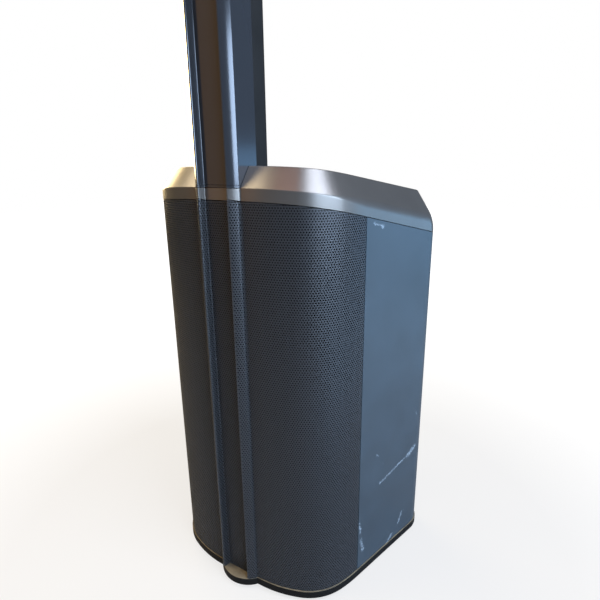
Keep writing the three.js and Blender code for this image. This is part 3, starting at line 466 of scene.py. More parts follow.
def rub_mark(tree, flat, start, end, width):
    """A mark along a line on the shell's side, from 1 on the line down to 0 at its width. In mm."""
    first = Vector((0, *start)) * MM
    along = Vector((0, *end)) * MM - first
    offset = add(tree, "VectorMath", {1: first}, {0: flat}, operation="SUBTRACT")
    share = add(tree, "VectorMath", {1: along / along.length_squared}, {0: offset.outputs["Vector"]},
                operation="DOT_PRODUCT")
    held = add(tree, "Clamp", links={"Value": share.outputs["Value"]})
    nearest = add(tree, "VectorMath", {0: along}, {"Scale": held.outputs["Result"]}, operation="SCALE")
    distance = add(tree, "VectorMath", links={0: offset.outputs["Vector"], 1: nearest.outputs["Vector"]},
                   operation="DISTANCE")
    mark = add(tree, "MapRange", {"From Min": width * MM, "From Max": 0},
               {"Value": distance.outputs["Value"]})
    return mark.outputs["Result"]


def shell_texture():
    """ABS, sprayed fine texture, charcoal. Handling has left pale scuffs, drawn as torn streaks."""
    material, tree, shader = new_material("ABS, fine sprayed texture, scuffed")
    place = add(tree, "TexCoord").outputs["Object"]
    grain = add(tree, "TexNoise", {"Scale": 1 / (0.8 * MM), "Detail": 3.0}, {"Vector": place})
    cloud = add(tree, "TexNoise", {"Scale": 1 / (60 * MM), "Detail": 5.0}, {"Vector": place})
    tone = add(tree, "Mix", {"A": linear("#232d35"), "B": linear("#323f4a")},
               {"Factor": cloud.outputs["Fac"]}, data_type="RGBA")
    axes = add(tree, "SeparateXYZ", links={"Vector": place})
    low_down = add(tree, "MapRange", {"From Min": 0.30, "From Max": 0.02}, {"Value": axes.outputs["Z"]})
    stretch = add(tree, "Mapping", {"Scale": (1, 90, 28), "Rotation": (0.75, 0, 0)}, {"Vector": place})
    streak = add(tree, "TexNoise", {"Scale": 1.0, "Detail": 6.0, "Roughness": 0.7},
                 {"Vector": stretch.outputs["Vector"]})
    torn = add(tree, "MapRange", {"From Min": 0.66, "From Max": 0.74}, {"Value": streak.outputs["Fac"]})
    general = add(tree, "Math", links={0: torn.outputs["Result"], 1: low_down.outputs["Result"]},
                  operation="MULTIPLY")
    jitter = add(tree, "TexNoise", {"Scale": 1 / (4 * MM), "Detail": 6.0}, {"Vector": place})
    shaken = add(tree, "VectorMath", {1: (0, 9 * MM, 9 * MM)}, {0: jitter.outputs["Color"]},
                 operation="MULTIPLY")
    side_on = add(tree, "VectorMath", {1: (0, 1, 1)}, {0: place}, operation="MULTIPLY")
    flat = add(tree, "VectorMath", links={0: side_on.outputs["Vector"], 1: shaken.outputs["Vector"]},
               operation="ADD")
    marks = None
    for start, end, width in SCUFFS:
        mark = rub_mark(tree, flat.outputs["Vector"], start, end, width)
        if marks is not None:
            mark = add(tree, "Math", links={0: marks, 1: mark}, operation="MAXIMUM").outputs["Value"]
        marks = mark
    shred = add(tree, "TexNoise", {"Scale": 1 / (2.5 * MM), "Detail": 6.0, "Roughness": 0.8},
                {"Vector": place})
    shredded = add(tree, "MapRange", {"From Min": 0.40, "From Max": 0.58}, {"Value": shred.outputs["Fac"]})
    rubbed = add(tree, "Math", links={0: marks, 1: shredded.outputs["Result"]}, operation="MULTIPLY")
    right_side = add(tree, "Math", {1: 0.0}, {0: axes.outputs["X"]}, operation="GREATER_THAN")
    placed = add(tree, "Math", links={0: rubbed.outputs["Value"], 1: right_side.outputs["Value"]},
                 operation="MULTIPLY")
    scuff = add(tree, "Math", links={0: general.outputs["Value"], 1: placed.outputs["Value"]},
                operation="MAXIMUM")
    colour = add(tree, "Mix", {"B": linear("#8794a0")},
                 {"Factor": scuff.outputs["Value"], "A": tone.outputs["Result"]}, data_type="RGBA")
    rough = add(tree, "MapRange", {"To Min": 0.40, "To Max": 0.52}, {"Value": cloud.outputs["Fac"]})
    bump = add(tree, "Bump", {"Strength": 0.22, "Distance": 0.07 * MM}, {"Height": grain.outputs["Fac"]})
    tree.links.new(colour.outputs["Result"], shader.inputs["Base Color"])
    tree.links.new(rough.outputs["Result"], shader.inputs["Roughness"])
    tree.links.new(bump.outputs["Normal"], shader.inputs["Normal"])
    shader.inputs["IOR"].default_value = 1.53
    return material


def shell_layer(inset, front, bottom=shell_low.z, top=PARTING):
    """The plan prism of the shell at one inset, from a depth to the rear, under the parting plane."""
    layer = loft([(inset, bottom), (inset, 2 * PARTING)])
    trimmed(layer, (0, front, 0), (0, -1, 0))
    return parting_cut(layer, top)


shell_texture_finish = shell_texture()
shell = combined(
    shell_layer(PLATE_LIP, FRONT_FACE + GRILLE_END),
    shell_layer(PLATE_LIP + GRILLE_REBATE, shell_front),
    "UNION",
)
shell = combined(shell, shell_layer(PLATE_LIP + GRILLE_REBATE + WALL, shell_front - MM, 0, 2 * PARTING))
opening_low = Vector((panel_low.x + PANEL_MARGIN, panel_high.y - WALL, panel_low.z + PANEL_MARGIN))
opening_high = Vector((panel_high.x - PANEL_MARGIN, plate_high.y + WALL, panel_high.z - PANEL_MARGIN))
shell = combined(shell, block(opening_low, opening_high, PANEL_RADIUS, axis=1))
mouth_edges = [edge for edge in shell.edges
               if all(abs(v.co.y - (plate_high.y - PLATE_LIP)) < 10 * TINY for v in edge.verts)
               and all(abs(v.co.x) < opening_high.x + MM for v in edge.verts)
               and all(opening_low.z - MM < v.co.z < opening_high.z + MM for v in edge.verts)]
rounded(shell, mouth_edges, 1.6 * MM)
install(finished("cabinet_shell_moulding", shell, shell_texture_finish), "cabinet", "shell", "cabinet_shell")

# Front grille: one sheet of punched steel, bent round the two rails of the nose, the front and both
# corners, then powder coated. The holes lie on a 60 degree stagger and run off the cut edges, and black
# acoustic cloth is glued behind them. The sheet is built in upright bands that meet edge to edge.
HOLE_PITCH = 3.4 * MM
HOLE_RADIUS = 1.22 * MM
SHEET = 1.1 * MM
RECESS_HALF = 18.5 * MM
RAIL_MOUTH = 21.5 * MM
CLOTH_GAP = 0.9 * MM
CLOTH = 0.5 * MM
GRILLE_BANDS = 6


def nose_corners(crown_steps=7):
    """Corners of the right half of the nose with their rounding: recess, rail wall, rail crown."""
    corners = [(RECESS_HALF, 0.0, 1.2 * MM)]
    first = math.asin(RAIL_MOUTH / NOSE_RADIUS)
    last = math.asin(COLUMN_HALF / NOSE_RADIUS)
    for i in range(crown_steps + 1):
        angle = first + (last - first) * i / crown_steps
        depth = NOSE_RADIUS - NOSE_REACH - NOSE_RADIUS * math.cos(angle)
        corners.append((NOSE_RADIUS * math.sin(angle), depth, 0.0))
    corners[1] = (*corners[1][:2], 1.6 * MM)
    return corners


def rounded_outline(bm, corners, z):
    """Adds a face through corners given as x, depth and rounding radius, with the corners rounded."""
    verts = [bm.verts.new((x, FRONT_FACE + depth, z)) for x, depth, _ in corners]
    bm.faces.new(verts)
    count = len(corners)
    for i, (x, depth, radius) in enumerate(corners):
        if not radius:
            continue
        here = Vector((x, depth))
        before = here - Vector(corners[i - 1][:2])
        after = Vector(corners[(i + 1) % count][:2]) - here
        reach = radius * math.tan(before.angle(after) / 2)
        bmesh.ops.bevel(bm, geom=[verts[i]], offset=reach, offset_type="OFFSET", segments=4, profile=0.5,
                        affect="VERTICES", material=-1, clamp_overlap=True)
    bm.faces.ensure_lookup_table()
    return bm.faces[0]


def grille_path():
    """The bent sheet's outer line in plan, from the middle of the recess to the right edge."""
    work = bmesh.new()
    plan = [v.co.copy() for v in half_plan(work, PLATE_LIP, 0)]
    end = FRONT_FACE + GRILLE_END - SHEET
    kept = [p for p in plan[1:] if p.y < end]
    after = plan[len(kept) + 1]
    kept.append(kept[-1].lerp(after, (end - kept[-1].y) / (after.y - kept[-1].y)))
    nose = nose_corners()
    nose[-1] = (nose[-1][0] - PLATE_LIP / 2, PLATE_LIP, 0.8 * MM)
    work.clear()
    corners = [(0.0, 0.0, 0.0), *nose, *[(p.x, p.y - FRONT_FACE, 0.0) for p in kept]]
    corners.append((0.0, GRILLE_END + WALL, 0.0))
    face = rounded_outline(work, corners, 0)
    loop = [v.co.copy() for v in face.verts]
    start = min(range(len(loop)), key=lambda i: (loop[i] - Vector((0, FRONT_FACE, 0))).length)
    loop = loop[start:] + loop[:start]
    if loop[1].x < loop[-1].x:
        loop = loop[:1] + loop[:0:-1]
    work.free()
    return [p for p in loop if p.y < end + TINY]


class Bend:
    """Lays a flat sheet onto a plan line: x along the sheet becomes distance along the line."""

    def __init__(self, path):
        self.path = path
        self.at = [0.0]
        for a, b in zip(path, path[1:]):
            self.at.append(self.at[-1] + (b - a).length)
        self.length = self.at[-1]

    def place(self, along, inward):
        distance = min(abs(along), self.length)
        low, high = 0, len(self.at) - 1
        while high - low > 1:
            i = (low + high) // 2
            low, high = (i, high) if self.at[i] <= distance else (low, i)
        a, b = self.path[low], self.path[high]
        share = (distance - self.at[low]) / (self.at[high] - self.at[low])
        point = a.lerp(b, share)
        run = (b - a).normalized()
        point += Vector((-run.y, run.x, 0)) * inward
        return math.copysign(point.x, along), point.y


def hexagon_rows(columns, rows, pitch):
    """A flat tiling of hexagons, in rows along x and staggered up z, made by doubling one tile."""
    bm = bmesh.new()
    bmesh.ops.create_circle(bm, cap_ends=True, segments=6, radius=pitch / math.sqrt(3))
    bmesh.ops.rotate(bm, verts=bm.verts, cent=(0, 0, 0), matrix=Matrix.Rotation(math.radians(30), 3, "Z"))
    bmesh.ops.rotate(bm, verts=bm.verts, cent=(0, 0, 0), matrix=Matrix.Rotation(math.radians(90), 3, "X"))

    def repeated(count, step):
        made = 1
        while made < count:
            share = min(made, count - made)
            whole = bm.verts[:] + bm.edges[:] + bm.faces[:]
            copy = bmesh.ops.duplicate(bm, geom=whole)["geom"]
            bmesh.ops.translate(bm, vec=step * share, verts=verts_of(copy))
            made += share

    rise = pitch * math.sqrt(3) / 2
    repeated(columns, Vector((pitch, 0, 0)))
    pair = bmesh.ops.duplicate(bm, geom=bm.verts[:] + bm.edges[:] + bm.faces[:])["geom"]
    bmesh.ops.translate(bm, vec=(pitch / 2, 0, rise), verts=verts_of(pair))
    repeated(math.ceil(rows / 2), Vector((0, 0, 2 * rise)))
    bmesh.ops.remove_doubles(bm, verts=bm.verts, dist=pitch / 50)
    return bm


def punched(bm, pitch, hole):
    """Opens a hole in every hexagon of a tiling."""
    web = pitch / 2 - hole * math.cos(math.radians(30))
    inset = bmesh.ops.inset_individual(bm, faces=bm.faces[:], thickness=web, use_even_offset=True)
    rims = set(inset["faces"])
    bmesh.ops.delete(bm, geom=[f for f in bm.faces if f not in rims], context="FACES")
    return bm


def powder_coat(name):
    """Steel, powder coated, black: satin with a fine orange peel, and pale chips worn on a few edges."""
    material, tree, shader = new_material(name)
    place = add(tree, "TexCoord").outputs["Object"]
    peel = add(tree, "TexNoise", {"Scale": 1 / (1.1 * MM), "Detail": 2.0}, {"Vector": place})
    chips = add(tree, "TexNoise", {"Scale": 1 / (7 * MM), "Detail": 8.0, "Roughness": 0.75},
                {"Vector": place})
    worn = add(tree, "MapRange", {"From Min": 0.76, "From Max": 0.80}, {"Value": chips.outputs["Fac"]})
    colour = add(tree, "Mix", {"A": linear("#46494e"), "B": linear("#a5a9ae")},
                 {"Factor": worn.outputs["Result"]}, data_type="RGBA")
    bump = add(tree, "Bump", {"Strength": 0.2, "Distance": 0.05 * MM}, {"Height": peel.outputs["Fac"]})
    tree.links.new(colour.outputs["Result"], shader.inputs["Base Color"])
    tree.links.new(bump.outputs["Normal"], shader.inputs["Normal"])
    shader.inputs["Roughness"].default_value = 0.42
    shader.inputs["Metallic"].default_value = 0.6
    return material


def acoustic_cloth():
    """Polyester, open plain weave, black: two crossed waves about 1.6 mm long stand for its threads."""
    material, tree, shader = new_material("polyester cloth, plain weave")
    place = add(tree, "TexCoord").outputs["Object"]
    warp = add(tree, "TexWave", {"Scale": 1 / (5 * MM)}, {"Vector": place},
               bands_direction="X")
    weft = add(tree, "TexWave", {"Scale": 1 / (5 * MM)}, {"Vector": place},
               bands_direction="Z")
    weave = add(tree, "Math", links={0: warp.outputs["Fac"], 1: weft.outputs["Fac"]}, operation="MULTIPLY")
    colour = add(tree, "Mix", {"A": linear("#050505"), "B": linear("#131313")},
                 {"Factor": weave.outputs["Value"]}, data_type="RGBA")
    bump = add(tree, "Bump", {"Strength": 0.4, "Distance": 0.1 * MM}, {"Height": weave.outputs["Value"]})
    tree.links.new(colour.outputs["Result"], shader.inputs["Base Color"])
    tree.links.new(bump.outputs["Normal"], shader.inputs["Normal"])
    shader.inputs["Roughness"].default_value = 0.95
    shader.inputs["Specular IOR Level"].default_value = 0.15
    return material


bend = Bend(grille_path())
coat = powder_coat("steel, powder coated")
cloth = acoustic_cloth()
grille_base = grille_low.z
columns_all = math.ceil(2 * bend.length / HOLE_PITCH)
per_band = math.ceil(columns_all / GRILLE_BANDS)
rows_all = math.ceil((PARTING - grille_base) / (HOLE_PITCH * math.sqrt(3) / 2)) + 2
for band in range(GRILLE_BANDS):
    sheet = punched(hexagon_rows(per_band, rows_all, HOLE_PITCH), HOLE_PITCH, HOLE_RADIUS)
    shift = (band - GRILLE_BANDS / 2) * per_band * HOLE_PITCH
    bmesh.ops.translate(sheet, vec=(shift, 0, grille_base - HOLE_PITCH / 3), verts=sheet.verts)
    for side in (-1, 1):
        cut_off(sheet, (side * (bend.length - TINY), 0, 0), (side, 0, 0))
    for vert in sheet.verts:
        vert.co.x, vert.co.y = bend.place(vert.co.x, 0.0)
    cut_off(sheet, (0, FRONT_FACE, PARTING), Vector((0, PARTING_SLOPE, 1)).normalized())
    cut_off(sheet, (0, 0, grille_base), (0, 0, -1))
    bmesh.ops.recalc_face_normals(sheet, faces=sheet.faces)
    outward = sum((f.normal.y * f.calc_area() for f in sheet.faces), 0.0)
    if outward > 0:
        bmesh.ops.reverse_faces(sheet, faces=sheet.faces)
    bmesh.ops.solidify(sheet, geom=sheet.faces[:], thickness=SHEET)
    grille = finished(f"front_grille_band_{band + 1}", sheet, coat, sharp=40, flats=False)
    install(grille, "cabinet", "steel", "front_grille")

cloth_sheet = bmesh.new()
cloth_columns = 240
bmesh.ops.create_grid(cloth_sheet, x_segments=cloth_columns, y_segments=12, size=0.5)
for vert in cloth_sheet.verts:
    along = vert.co.x * 2 * (bend.length - 2 * MM)
    up = vert.co.y + 0.5
    x, y = bend.place(along, SHEET + CLOTH_GAP)
    top = PARTING - PARTING_SLOPE * (y - FRONT_FACE) - 2 * MM
    vert.co = (x, y, grille_base + MM + up * (top - grille_base - MM))
bmesh.ops.solidify(cloth_sheet, geom=cloth_sheet.faces[:], thickness=CLOTH)
install(finished("grille_backing_cloth", cloth_sheet, cloth), "cabinet", "steel")

# Top cap: an injection-moulded ABS hood with a polished-tool satin finish. An upright band meets a steep
# drafted face at a crease that is crisp at the front and melts away round the rear corners; the top
# falls to the rear, holds the grab pocket, and is notched for the column and its spigot.
cap_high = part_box("top_cap")[1]
CREASE_SLOPE = 0.22
TOP_SLOPE = 0.17
BAND_HEIGHT = 15 * MM
CAP_RISE = 27.3 * MM
DRAFT = math.radians(57.5)
DRAFT_RUN = 34 * MM
CAP_WALL = 5 * MM
SLIP_GAP = 0.6 * MM
COLUMN_DEPTH = 65.5 * MM
COLUMN_SPLIT = 35 * MM
COLUMN_REAR_RADIUS = 12 * MM
SPIGOT = Vector((36 * MM, 30 * MM, 40 * MM))
SPIGOT_BACK = FRONT_FACE + 32 * MM
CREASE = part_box("spacer_profile")[0].z
CREASE_SOFT = 14 * MM
handle_low, handle_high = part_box("carry_handle")
FINGER_GAP = 27 * MM
POCKET_DEPTH = 42 * MM
CROWN_SOFT = 3.5 * MM


def leaned(bm, slope):
    """Lets a solid fall to the rear by a slope."""
    for vert in bm.verts:
        vert.co.z -= slope * (vert.co.y - FRONT_FACE)
    return bm


def hood(inset, drop):
    """The cap's outer form, or its cavity when it is set in and dropped by the wall."""
    rise = DRAFT_RUN * math.tan(DRAFT)
    crease = CREASE - drop * math.tan(DRAFT / 2) / 2
    form = loft([(inset, PARTING - 90 * MM), (inset, crease), (inset + DRAFT_RUN, crease + rise)])
    weights = form.edges.layers.float.new("bevel_weight_edge")
    for edge in level_edges(form, crease):
        depth = (edge.verts[0].co.y + edge.verts[1].co.y) / 2 - FRONT_FACE
        share = min(max((depth / CABINET_DEPTH - 0.12) / 0.75, 0), 1)
        edge[weights] = 0.05 + 0.95 * share ** 1.4
    return leaned(form, CREASE_SLOPE)


def softened(form, soft):
    """Rounds the crease a little in front and broadly round the rear corners, by its edge weights."""
    mesh = bpy.data.meshes.new("blank")
    form.to_mesh(mesh)
    form.free()
    blank = bpy.data.objects.new("blank", mesh)
    scene.collection.objects.link(blank)
    soft_edge = blank.modifiers.new("crease", "BEVEL")
    soft_edge.limit_method = "WEIGHT"
    soft_edge.width = soft
    soft_edge.segments = 5
    result = bmesh.new()
    result.from_object(blank, bpy.context.evaluated_depsgraph_get())
    bpy.data.objects.remove(blank)
    bpy.data.meshes.remove(mesh)
    return result


def both_sides(right):
    """Corners of a right half, then those of the left half in reverse, so that they close a loop."""
    return right + [(-x, depth, radius) for x, depth, radius in reversed(right)]


def column_outline(bm, z, grow=0.0, front=None):
    """The column's whole section: the nose's two rails in front and rounded corners behind."""
    half = COLUMN_HALF + grow
    right = [(half, COLUMN_DEPTH + grow, COLUMN_REAR_RADIUS + grow)]
    if front is None:
        nose = nose_corners()
        nose[-1] = (*nose[-1][:2], CROWN_SOFT)
        right = nose + right
    else:
        right = [(half, front, 0.0)] + right
    return rounded_outline(bm, both_sides(right), z)


def upright(bm, face, height):
    """Pulls a face up into a closed prism."""
    pulled = bmesh.ops.extrude_face_region(bm, geom=[face], use_keep_orig=True)["geom"]
    bmesh.ops.translate(bm, vec=(0, 0, height), verts=verts_of(pulled))
    bmesh.ops.recalc_face_normals(bm, faces=bm.faces)
    return bm


def spigot_block(grow, bottom, top):
    """The spigot's straight-sided form, grown on all four sides."""
    half = Vector((SPIGOT.x / 2 + grow, SPIGOT.y / 2 + grow, 0))
    middle = Vector((0, SPIGOT_BACK, 0))
    return block(middle - half + Vector((0, 0, bottom)), middle + half + Vector((0, 0, top)), 3 * MM)


def pocket_block(grow, bottom):
    """The grab pocket's form with its rounded corners."""
    middle = (handle_low + handle_high) / 2
    half_long = (handle_high.x - handle_low.x) / 2 + 0.3 * MM + grow
    half_wide = (handle_high.y - handle_low.y) / 2 + FINGER_GAP + grow
    return block((-half_long, middle.y - half_wide, bottom),
                 (half_long, middle.y + half_wide, cap_high.z + 20 * MM), 10 * MM, segments=6)


def satin_cap():
    """ABS, satin moulded, near black with a fine metallic fleck, and a few pale nicks."""
    material, tree, shader = new_material("ABS, satin moulded, metallic fleck")
    place = add(tree, "TexCoord").outputs["Object"]
    fleck = add(tree, "TexVoronoi", {"Scale": 1 / (0.9 * MM)}, {"Vector": place})
    glint = add(tree, "MapRange", {"To Min": 0.29, "To Max": 0.37}, {"Value": fleck.outputs["Color"]})
    smear = add(tree, "TexNoise", {"Scale": 1 / (45 * MM), "Detail": 4.0}, {"Vector": place})
    tone = add(tree, "Mix", {"A": linear("#636160"), "B": linear("#6f6d6b")},
               {"Factor": smear.outputs["Fac"]}, data_type="RGBA")
    nick = add(tree, "TexNoise", {"Scale": 1 / (5 * MM), "Detail": 6.0, "Roughness": 0.8}, {"Vector": place})
    chipped = add(tree, "MapRange", {"From Min": 0.79, "From Max": 0.81}, {"Value": nick.outputs["Fac"]})
    colour = add(tree, "Mix", {"B": linear("#c9cdd0")},
                 {"Factor": chipped.outputs["Result"], "A": tone.outputs["Result"]}, data_type="RGBA")
    grain = add(tree, "TexNoise", {"Scale": 1 / (0.6 * MM), "Detail": 2.0}, {"Vector": place})
    bump = add(tree, "Bump", {"Strength": 0.06, "Distance": 0.03 * MM}, {"Height": grain.outputs["Fac"]})
    tree.links.new(colour.outputs["Result"], shader.inputs["Base Color"])
    tree.links.new(glint.outputs["Result"], shader.inputs["Roughness"])
    tree.links.new(bump.outputs["Normal"], shader.inputs["Normal"])
    shader.inputs["Metallic"].default_value = 0.72
    shader.inputs["IOR"].default_value = 1.53
    return material


SEAM = 0.9 * MM
shelf = CREASE - SLIP_GAP
socket_bottom = shelf - SPIGOT.z - 2 * MM - 8 * MM
pocket_floor = handle_high.z - POCKET_DEPTH
cap_form = softened(hood(PLATE_LIP, 0), CREASE_SOFT)
cap_form = parting_cut(cap_form, CREASE + CAP_RISE, TOP_SLOPE)
top_rim = [edge for edge in cap_form.edges if edge.calc_face_angle(0) > math.radians(20)
           and all(abs(v.co.z - (CREASE + CAP_RISE - TOP_SLOPE * (v.co.y - FRONT_FACE))) < 5 * TINY
                   for v in edge.verts)]
rounded(cap_form, top_rim, 1.2 * MM, 2)
nose_block = bmesh.new()
nose_right = nose_corners()
nose_right[-1] = (*nose_right[-1][:2], CROWN_SOFT)
nose_right.append((COLUMN_HALF, COLUMN_SPLIT, 0.0))
upright(nose_block, rounded_outline(nose_block, both_sides(nose_right), PARTING - 60 * MM),
        shelf - PARTING + 60 * MM)
cap_form = combined(cap_form, nose_block, "UNION")
below = -Vector((0, PARTING_SLOPE, 1)).normalized()
cap_form = trimmed(cap_form, (0, FRONT_FACE, PARTING + SEAM), below)
cavity = hood(PLATE_LIP + CAP_WALL, CAP_WALL)
cavity = parting_cut(cavity, CREASE + CAP_RISE - CAP_WALL, TOP_SLOPE)
seat_low = (-COLUMN_HALF - CAP_WALL, FRONT_FACE - NOSE_REACH - MM, shelf - 8 * MM)
seat_high = (COLUMN_HALF + CAP_WALL, FRONT_FACE + COLUMN_DEPTH + CAP_WALL, cap_high.z + 20 * MM)
cavity = combined(cavity, block(seat_low, seat_high))
cavity = combined(cavity, spigot_block(4 * MM, socket_bottom - 4 * MM, shelf))
cavity = combined(cavity, pocket_block(4 * MM, pocket_floor - 4 * MM))
cap_form = combined(cap_form, cavity)
cap_form = combined(cap_form, spigot_block(4 * MM, socket_bottom - 4 * MM, shelf - MM), "UNION")
notch = bmesh.new()
upright(notch, column_outline(notch, shelf, SLIP_GAP, front=-2 * NOSE_REACH), 60 * MM)
cap_form = combined(cap_form, notch)
cap_form = combined(cap_form, spigot_block(SLIP_GAP, socket_bottom, shelf + MM))
cap_form = combined(cap_form, pocket_block(0, pocket_floor))
install(finished("top_cap_moulding", cap_form, satin_cap(), sharp=24), "cabinet", "cap", "top_cap")

# Column: two extruded aluminium fronts with a pair of rails, anodised satin black, each closed by a
# moulded rear cover. A shallow lip ring marks the lower end of each section.
COLUMN_WALL = 3 * MM
LIP_HEIGHT = 3 * MM
LIP_GROOVE = 0.5 * MM


def anodised(name, colour, roughness):
    """Aluminium, satin black anodised: extrusion lines run up the profile, too fine but for a soft streak."""
    material, tree, shader = new_material(name)
    place = add(tree, "TexCoord").outputs["Object"]
    drawn = add(tree, "Mapping", {"Scale": (1, 1, 0.01)}, {"Vector": place})
    lines = add(tree, "TexNoise", {"Scale": 1 / (0.5 * MM), "Detail": 2.0},
                {"Vector": drawn.outputs["Vector"]})
    smear = add(tree, "TexNoise", {"Scale": 1 / (70 * MM), "Detail": 4.0}, {"Vector": place})
    rough = add(tree, "MapRange", {"To Min": roughness - 0.03, "To Max": roughness + 0.05},
                {"Value": smear.outputs["Fac"]})
    bump = add(tree, "Bump", {"Strength": 0.05, "Distance": 0.03 * MM}, {"Height": lines.outputs["Fac"]})
    tree.links.new(rough.outputs["Result"], shader.inputs["Roughness"])
    tree.links.new(bump.outputs["Normal"], shader.inputs["Normal"])
    shader.inputs["Base Color"].default_value = linear(colour)
    shader.inputs["Metallic"].default_value = 0.55
    return material


def moulded_plastic(name, colour, roughness, grain):
    """A moulded thermoplastic with a spark-eroded grain and a slight cloudiness from handling."""
    material, tree, shader = new_material(name)
    place = add(tree, "TexCoord").outputs["Object"]
    spark = add(tree, "TexNoise", {"Scale": 1 / grain, "Detail": 3.0}, {"Vector": place})
    cloud = add(tree, "TexNoise", {"Scale": 1 / (35 * MM), "Detail": 4.0}, {"Vector": place})
    base = linear(colour)
    paler = tuple(min(1, channel * 1.35 + 0.004) for channel in base[:3]) + (1,)
    tone = add(tree, "Mix", {"A": base, "B": paler}, {"Factor": cloud.outputs["Fac"]}, data_type="RGBA")
    rough = add(tree, "MapRange", {"To Min": roughness - 0.06, "To Max": roughness + 0.08},
                {"Value": cloud.outputs["Fac"]})
    bump = add(tree, "Bump", {"Strength": 0.3, "Distance": grain / 12}, {"Height": spark.outputs["Fac"]})
    tree.links.new(tone.outputs["Result"], shader.inputs["Base Color"])
    tree.links.new(rough.outputs["Result"], shader.inputs["Roughness"])
    tree.links.new(bump.outputs["Normal"], shader.inputs["Normal"])
    shader.inputs["IOR"].default_value = 1.53
    return material


def open_channel(corners, bottom, top):
    """A thin-walled channel up the column along an open line of corners, grooved above its lower lip."""
    bm = bmesh.new()
    face = rounded_outline(bm, corners, bottom)
    closing = max(face.edges, key=lambda e: (e.calc_length(), 0))
    bmesh.ops.delete(bm, geom=[face], context="FACES_ONLY")
    bmesh.ops.delete(bm, geom=[closing], context="EDGES_FACES")
    heights = [LIP_HEIGHT - LIP_GROOVE, LIP_HEIGHT - LIP_GROOVE / 2, LIP_HEIGHT, LIP_HEIGHT + LIP_GROOVE / 2]
    heights.append(top - bottom)
    rim = bm.edges[:]
    reached = 0.0
    for height in heights:
        pulled = bmesh.ops.extrude_edge_only(bm, edges=rim)["geom"]
        verts = verts_of(pulled)
        rim = [g for g in pulled if isinstance(g, bmesh.types.BMEdge)]
        bmesh.ops.translate(bm, vec=(0, 0, height - reached), verts=verts)
        reached = height
    middle = Vector((0, FRONT_FACE + COLUMN_SPLIT, 0))
    for vert in bm.verts:
        if LIP_HEIGHT - LIP_GROOVE * 0.75 < vert.co.z - bottom < LIP_HEIGHT + LIP_GROOVE / 4:
            vert.co.x *= 1 - LIP_GROOVE / COLUMN_HALF
            vert.co.y = middle.y + (vert.co.y - middle.y) * (1 - LIP_GROOVE / COLUMN_SPLIT)
    bmesh.ops.recalc_face_normals(bm, faces=bm.faces)
    leading = max(bm.faces, key=lambda f: abs(f.calc_center_median().x))
    if leading.normal.x * leading.calc_center_median().x < 0:
        bmesh.ops.reverse_faces(bm, faces=bm.faces)
    bmesh.ops.solidify(bm, geom=bm.faces[:], thickness=COLUMN_WALL)
    return bm


def column_front(bottom, top):
    """The extruded front of one column section."""
    right = nose_corners()
    right[-1] = (*right[-1][:2], CROWN_SOFT)
    right.append((COLUMN_HALF, COLUMN_SPLIT - 0.3 * MM, 0.0))
    return open_channel(both_sides(right), bottom, top)


def column_rear(bottom, top):
    """The moulded rear cover of one column section, set in a hair behind the front."""
    half = COLUMN_HALF - 0.25 * MM
    right = [(half, COLUMN_SPLIT, 0.0), (half, COLUMN_DEPTH, COLUMN_REAR_RADIUS)]
    return open_channel(both_sides(right), bottom, top)


profile_finish = anodised("aluminium, satin black anodised", "#3d4046", 0.14)
cover_finish = moulded_plastic("ABS, spark-eroded grain", "#0e0e0f", 0.62, 0.9 * MM)
cover_finish.node_tree.nodes["Principled BSDF"].inputs["Specular IOR Level"].default_value = 0.2
for section in ("spacer", "array"):
    low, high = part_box(f"{section}_profile")
    front = column_front(low.z, high.z)
    if section == "array":
        window_low = (-RECESS_HALF + 1.5 * MM, FRONT_FACE - MM, low.z + 20 * MM)
        window_high = (RECESS_HALF - 1.5 * MM, FRONT_FACE + 3 * COLUMN_WALL, high.z - 20 * MM)
        front = combined(front, block(window_low, window_high, 2 * MM, axis=1))
    install(finished(f"{section}_front_extrusion", front, profile_finish, sharp=28), section, "profile",
            f"{section}_profile")
    rear = column_rear(low.z, high.z)
    install(finished(f"{section}_rear_cover", rear, cover_finish, sharp=28), section, "cover",
            f"{section}_rear")

# Array grille: a narrow strip of the same punched steel in the recess, with a plain rim that clips into
# the extrusion, and black cloth behind it.


def array_grille_strip():
    """The punched strip inside its rim, as one closed sheet, with its box and the rim's width."""
    low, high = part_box("array_grille")
    rim = 2.2 * MM
    columns = math.ceil((high.x - low.x) / HOLE_PITCH) + 1
    rows = math.ceil((high.z - low.z) / (HOLE_PITCH * math.sqrt(3) / 2)) + 2
    strip = punched(hexagon_rows(columns, rows, HOLE_PITCH), HOLE_PITCH, HOLE_RADIUS)
    bmesh.ops.translate(strip, vec=(-columns * HOLE_PITCH / 2, low.y, low.z), verts=strip.verts)
    for side, limit in (((1, 0, 0), high.x - rim), ((-1, 0, 0), low.x + rim),
                        ((0, 0, 1), high.z - rim), ((0, 0, -1), low.z + rim)):
        cut_off(strip, Vector([abs(c) * limit for c in side]), side)
    if sum(f.normal.y for f in strip.faces) > 0:
        bmesh.ops.reverse_faces(strip, faces=strip.faces)
    bmesh.ops.solidify(strip, geom=strip.faces[:], thickness=high.y - low.y)
    return strip, low, high, rim


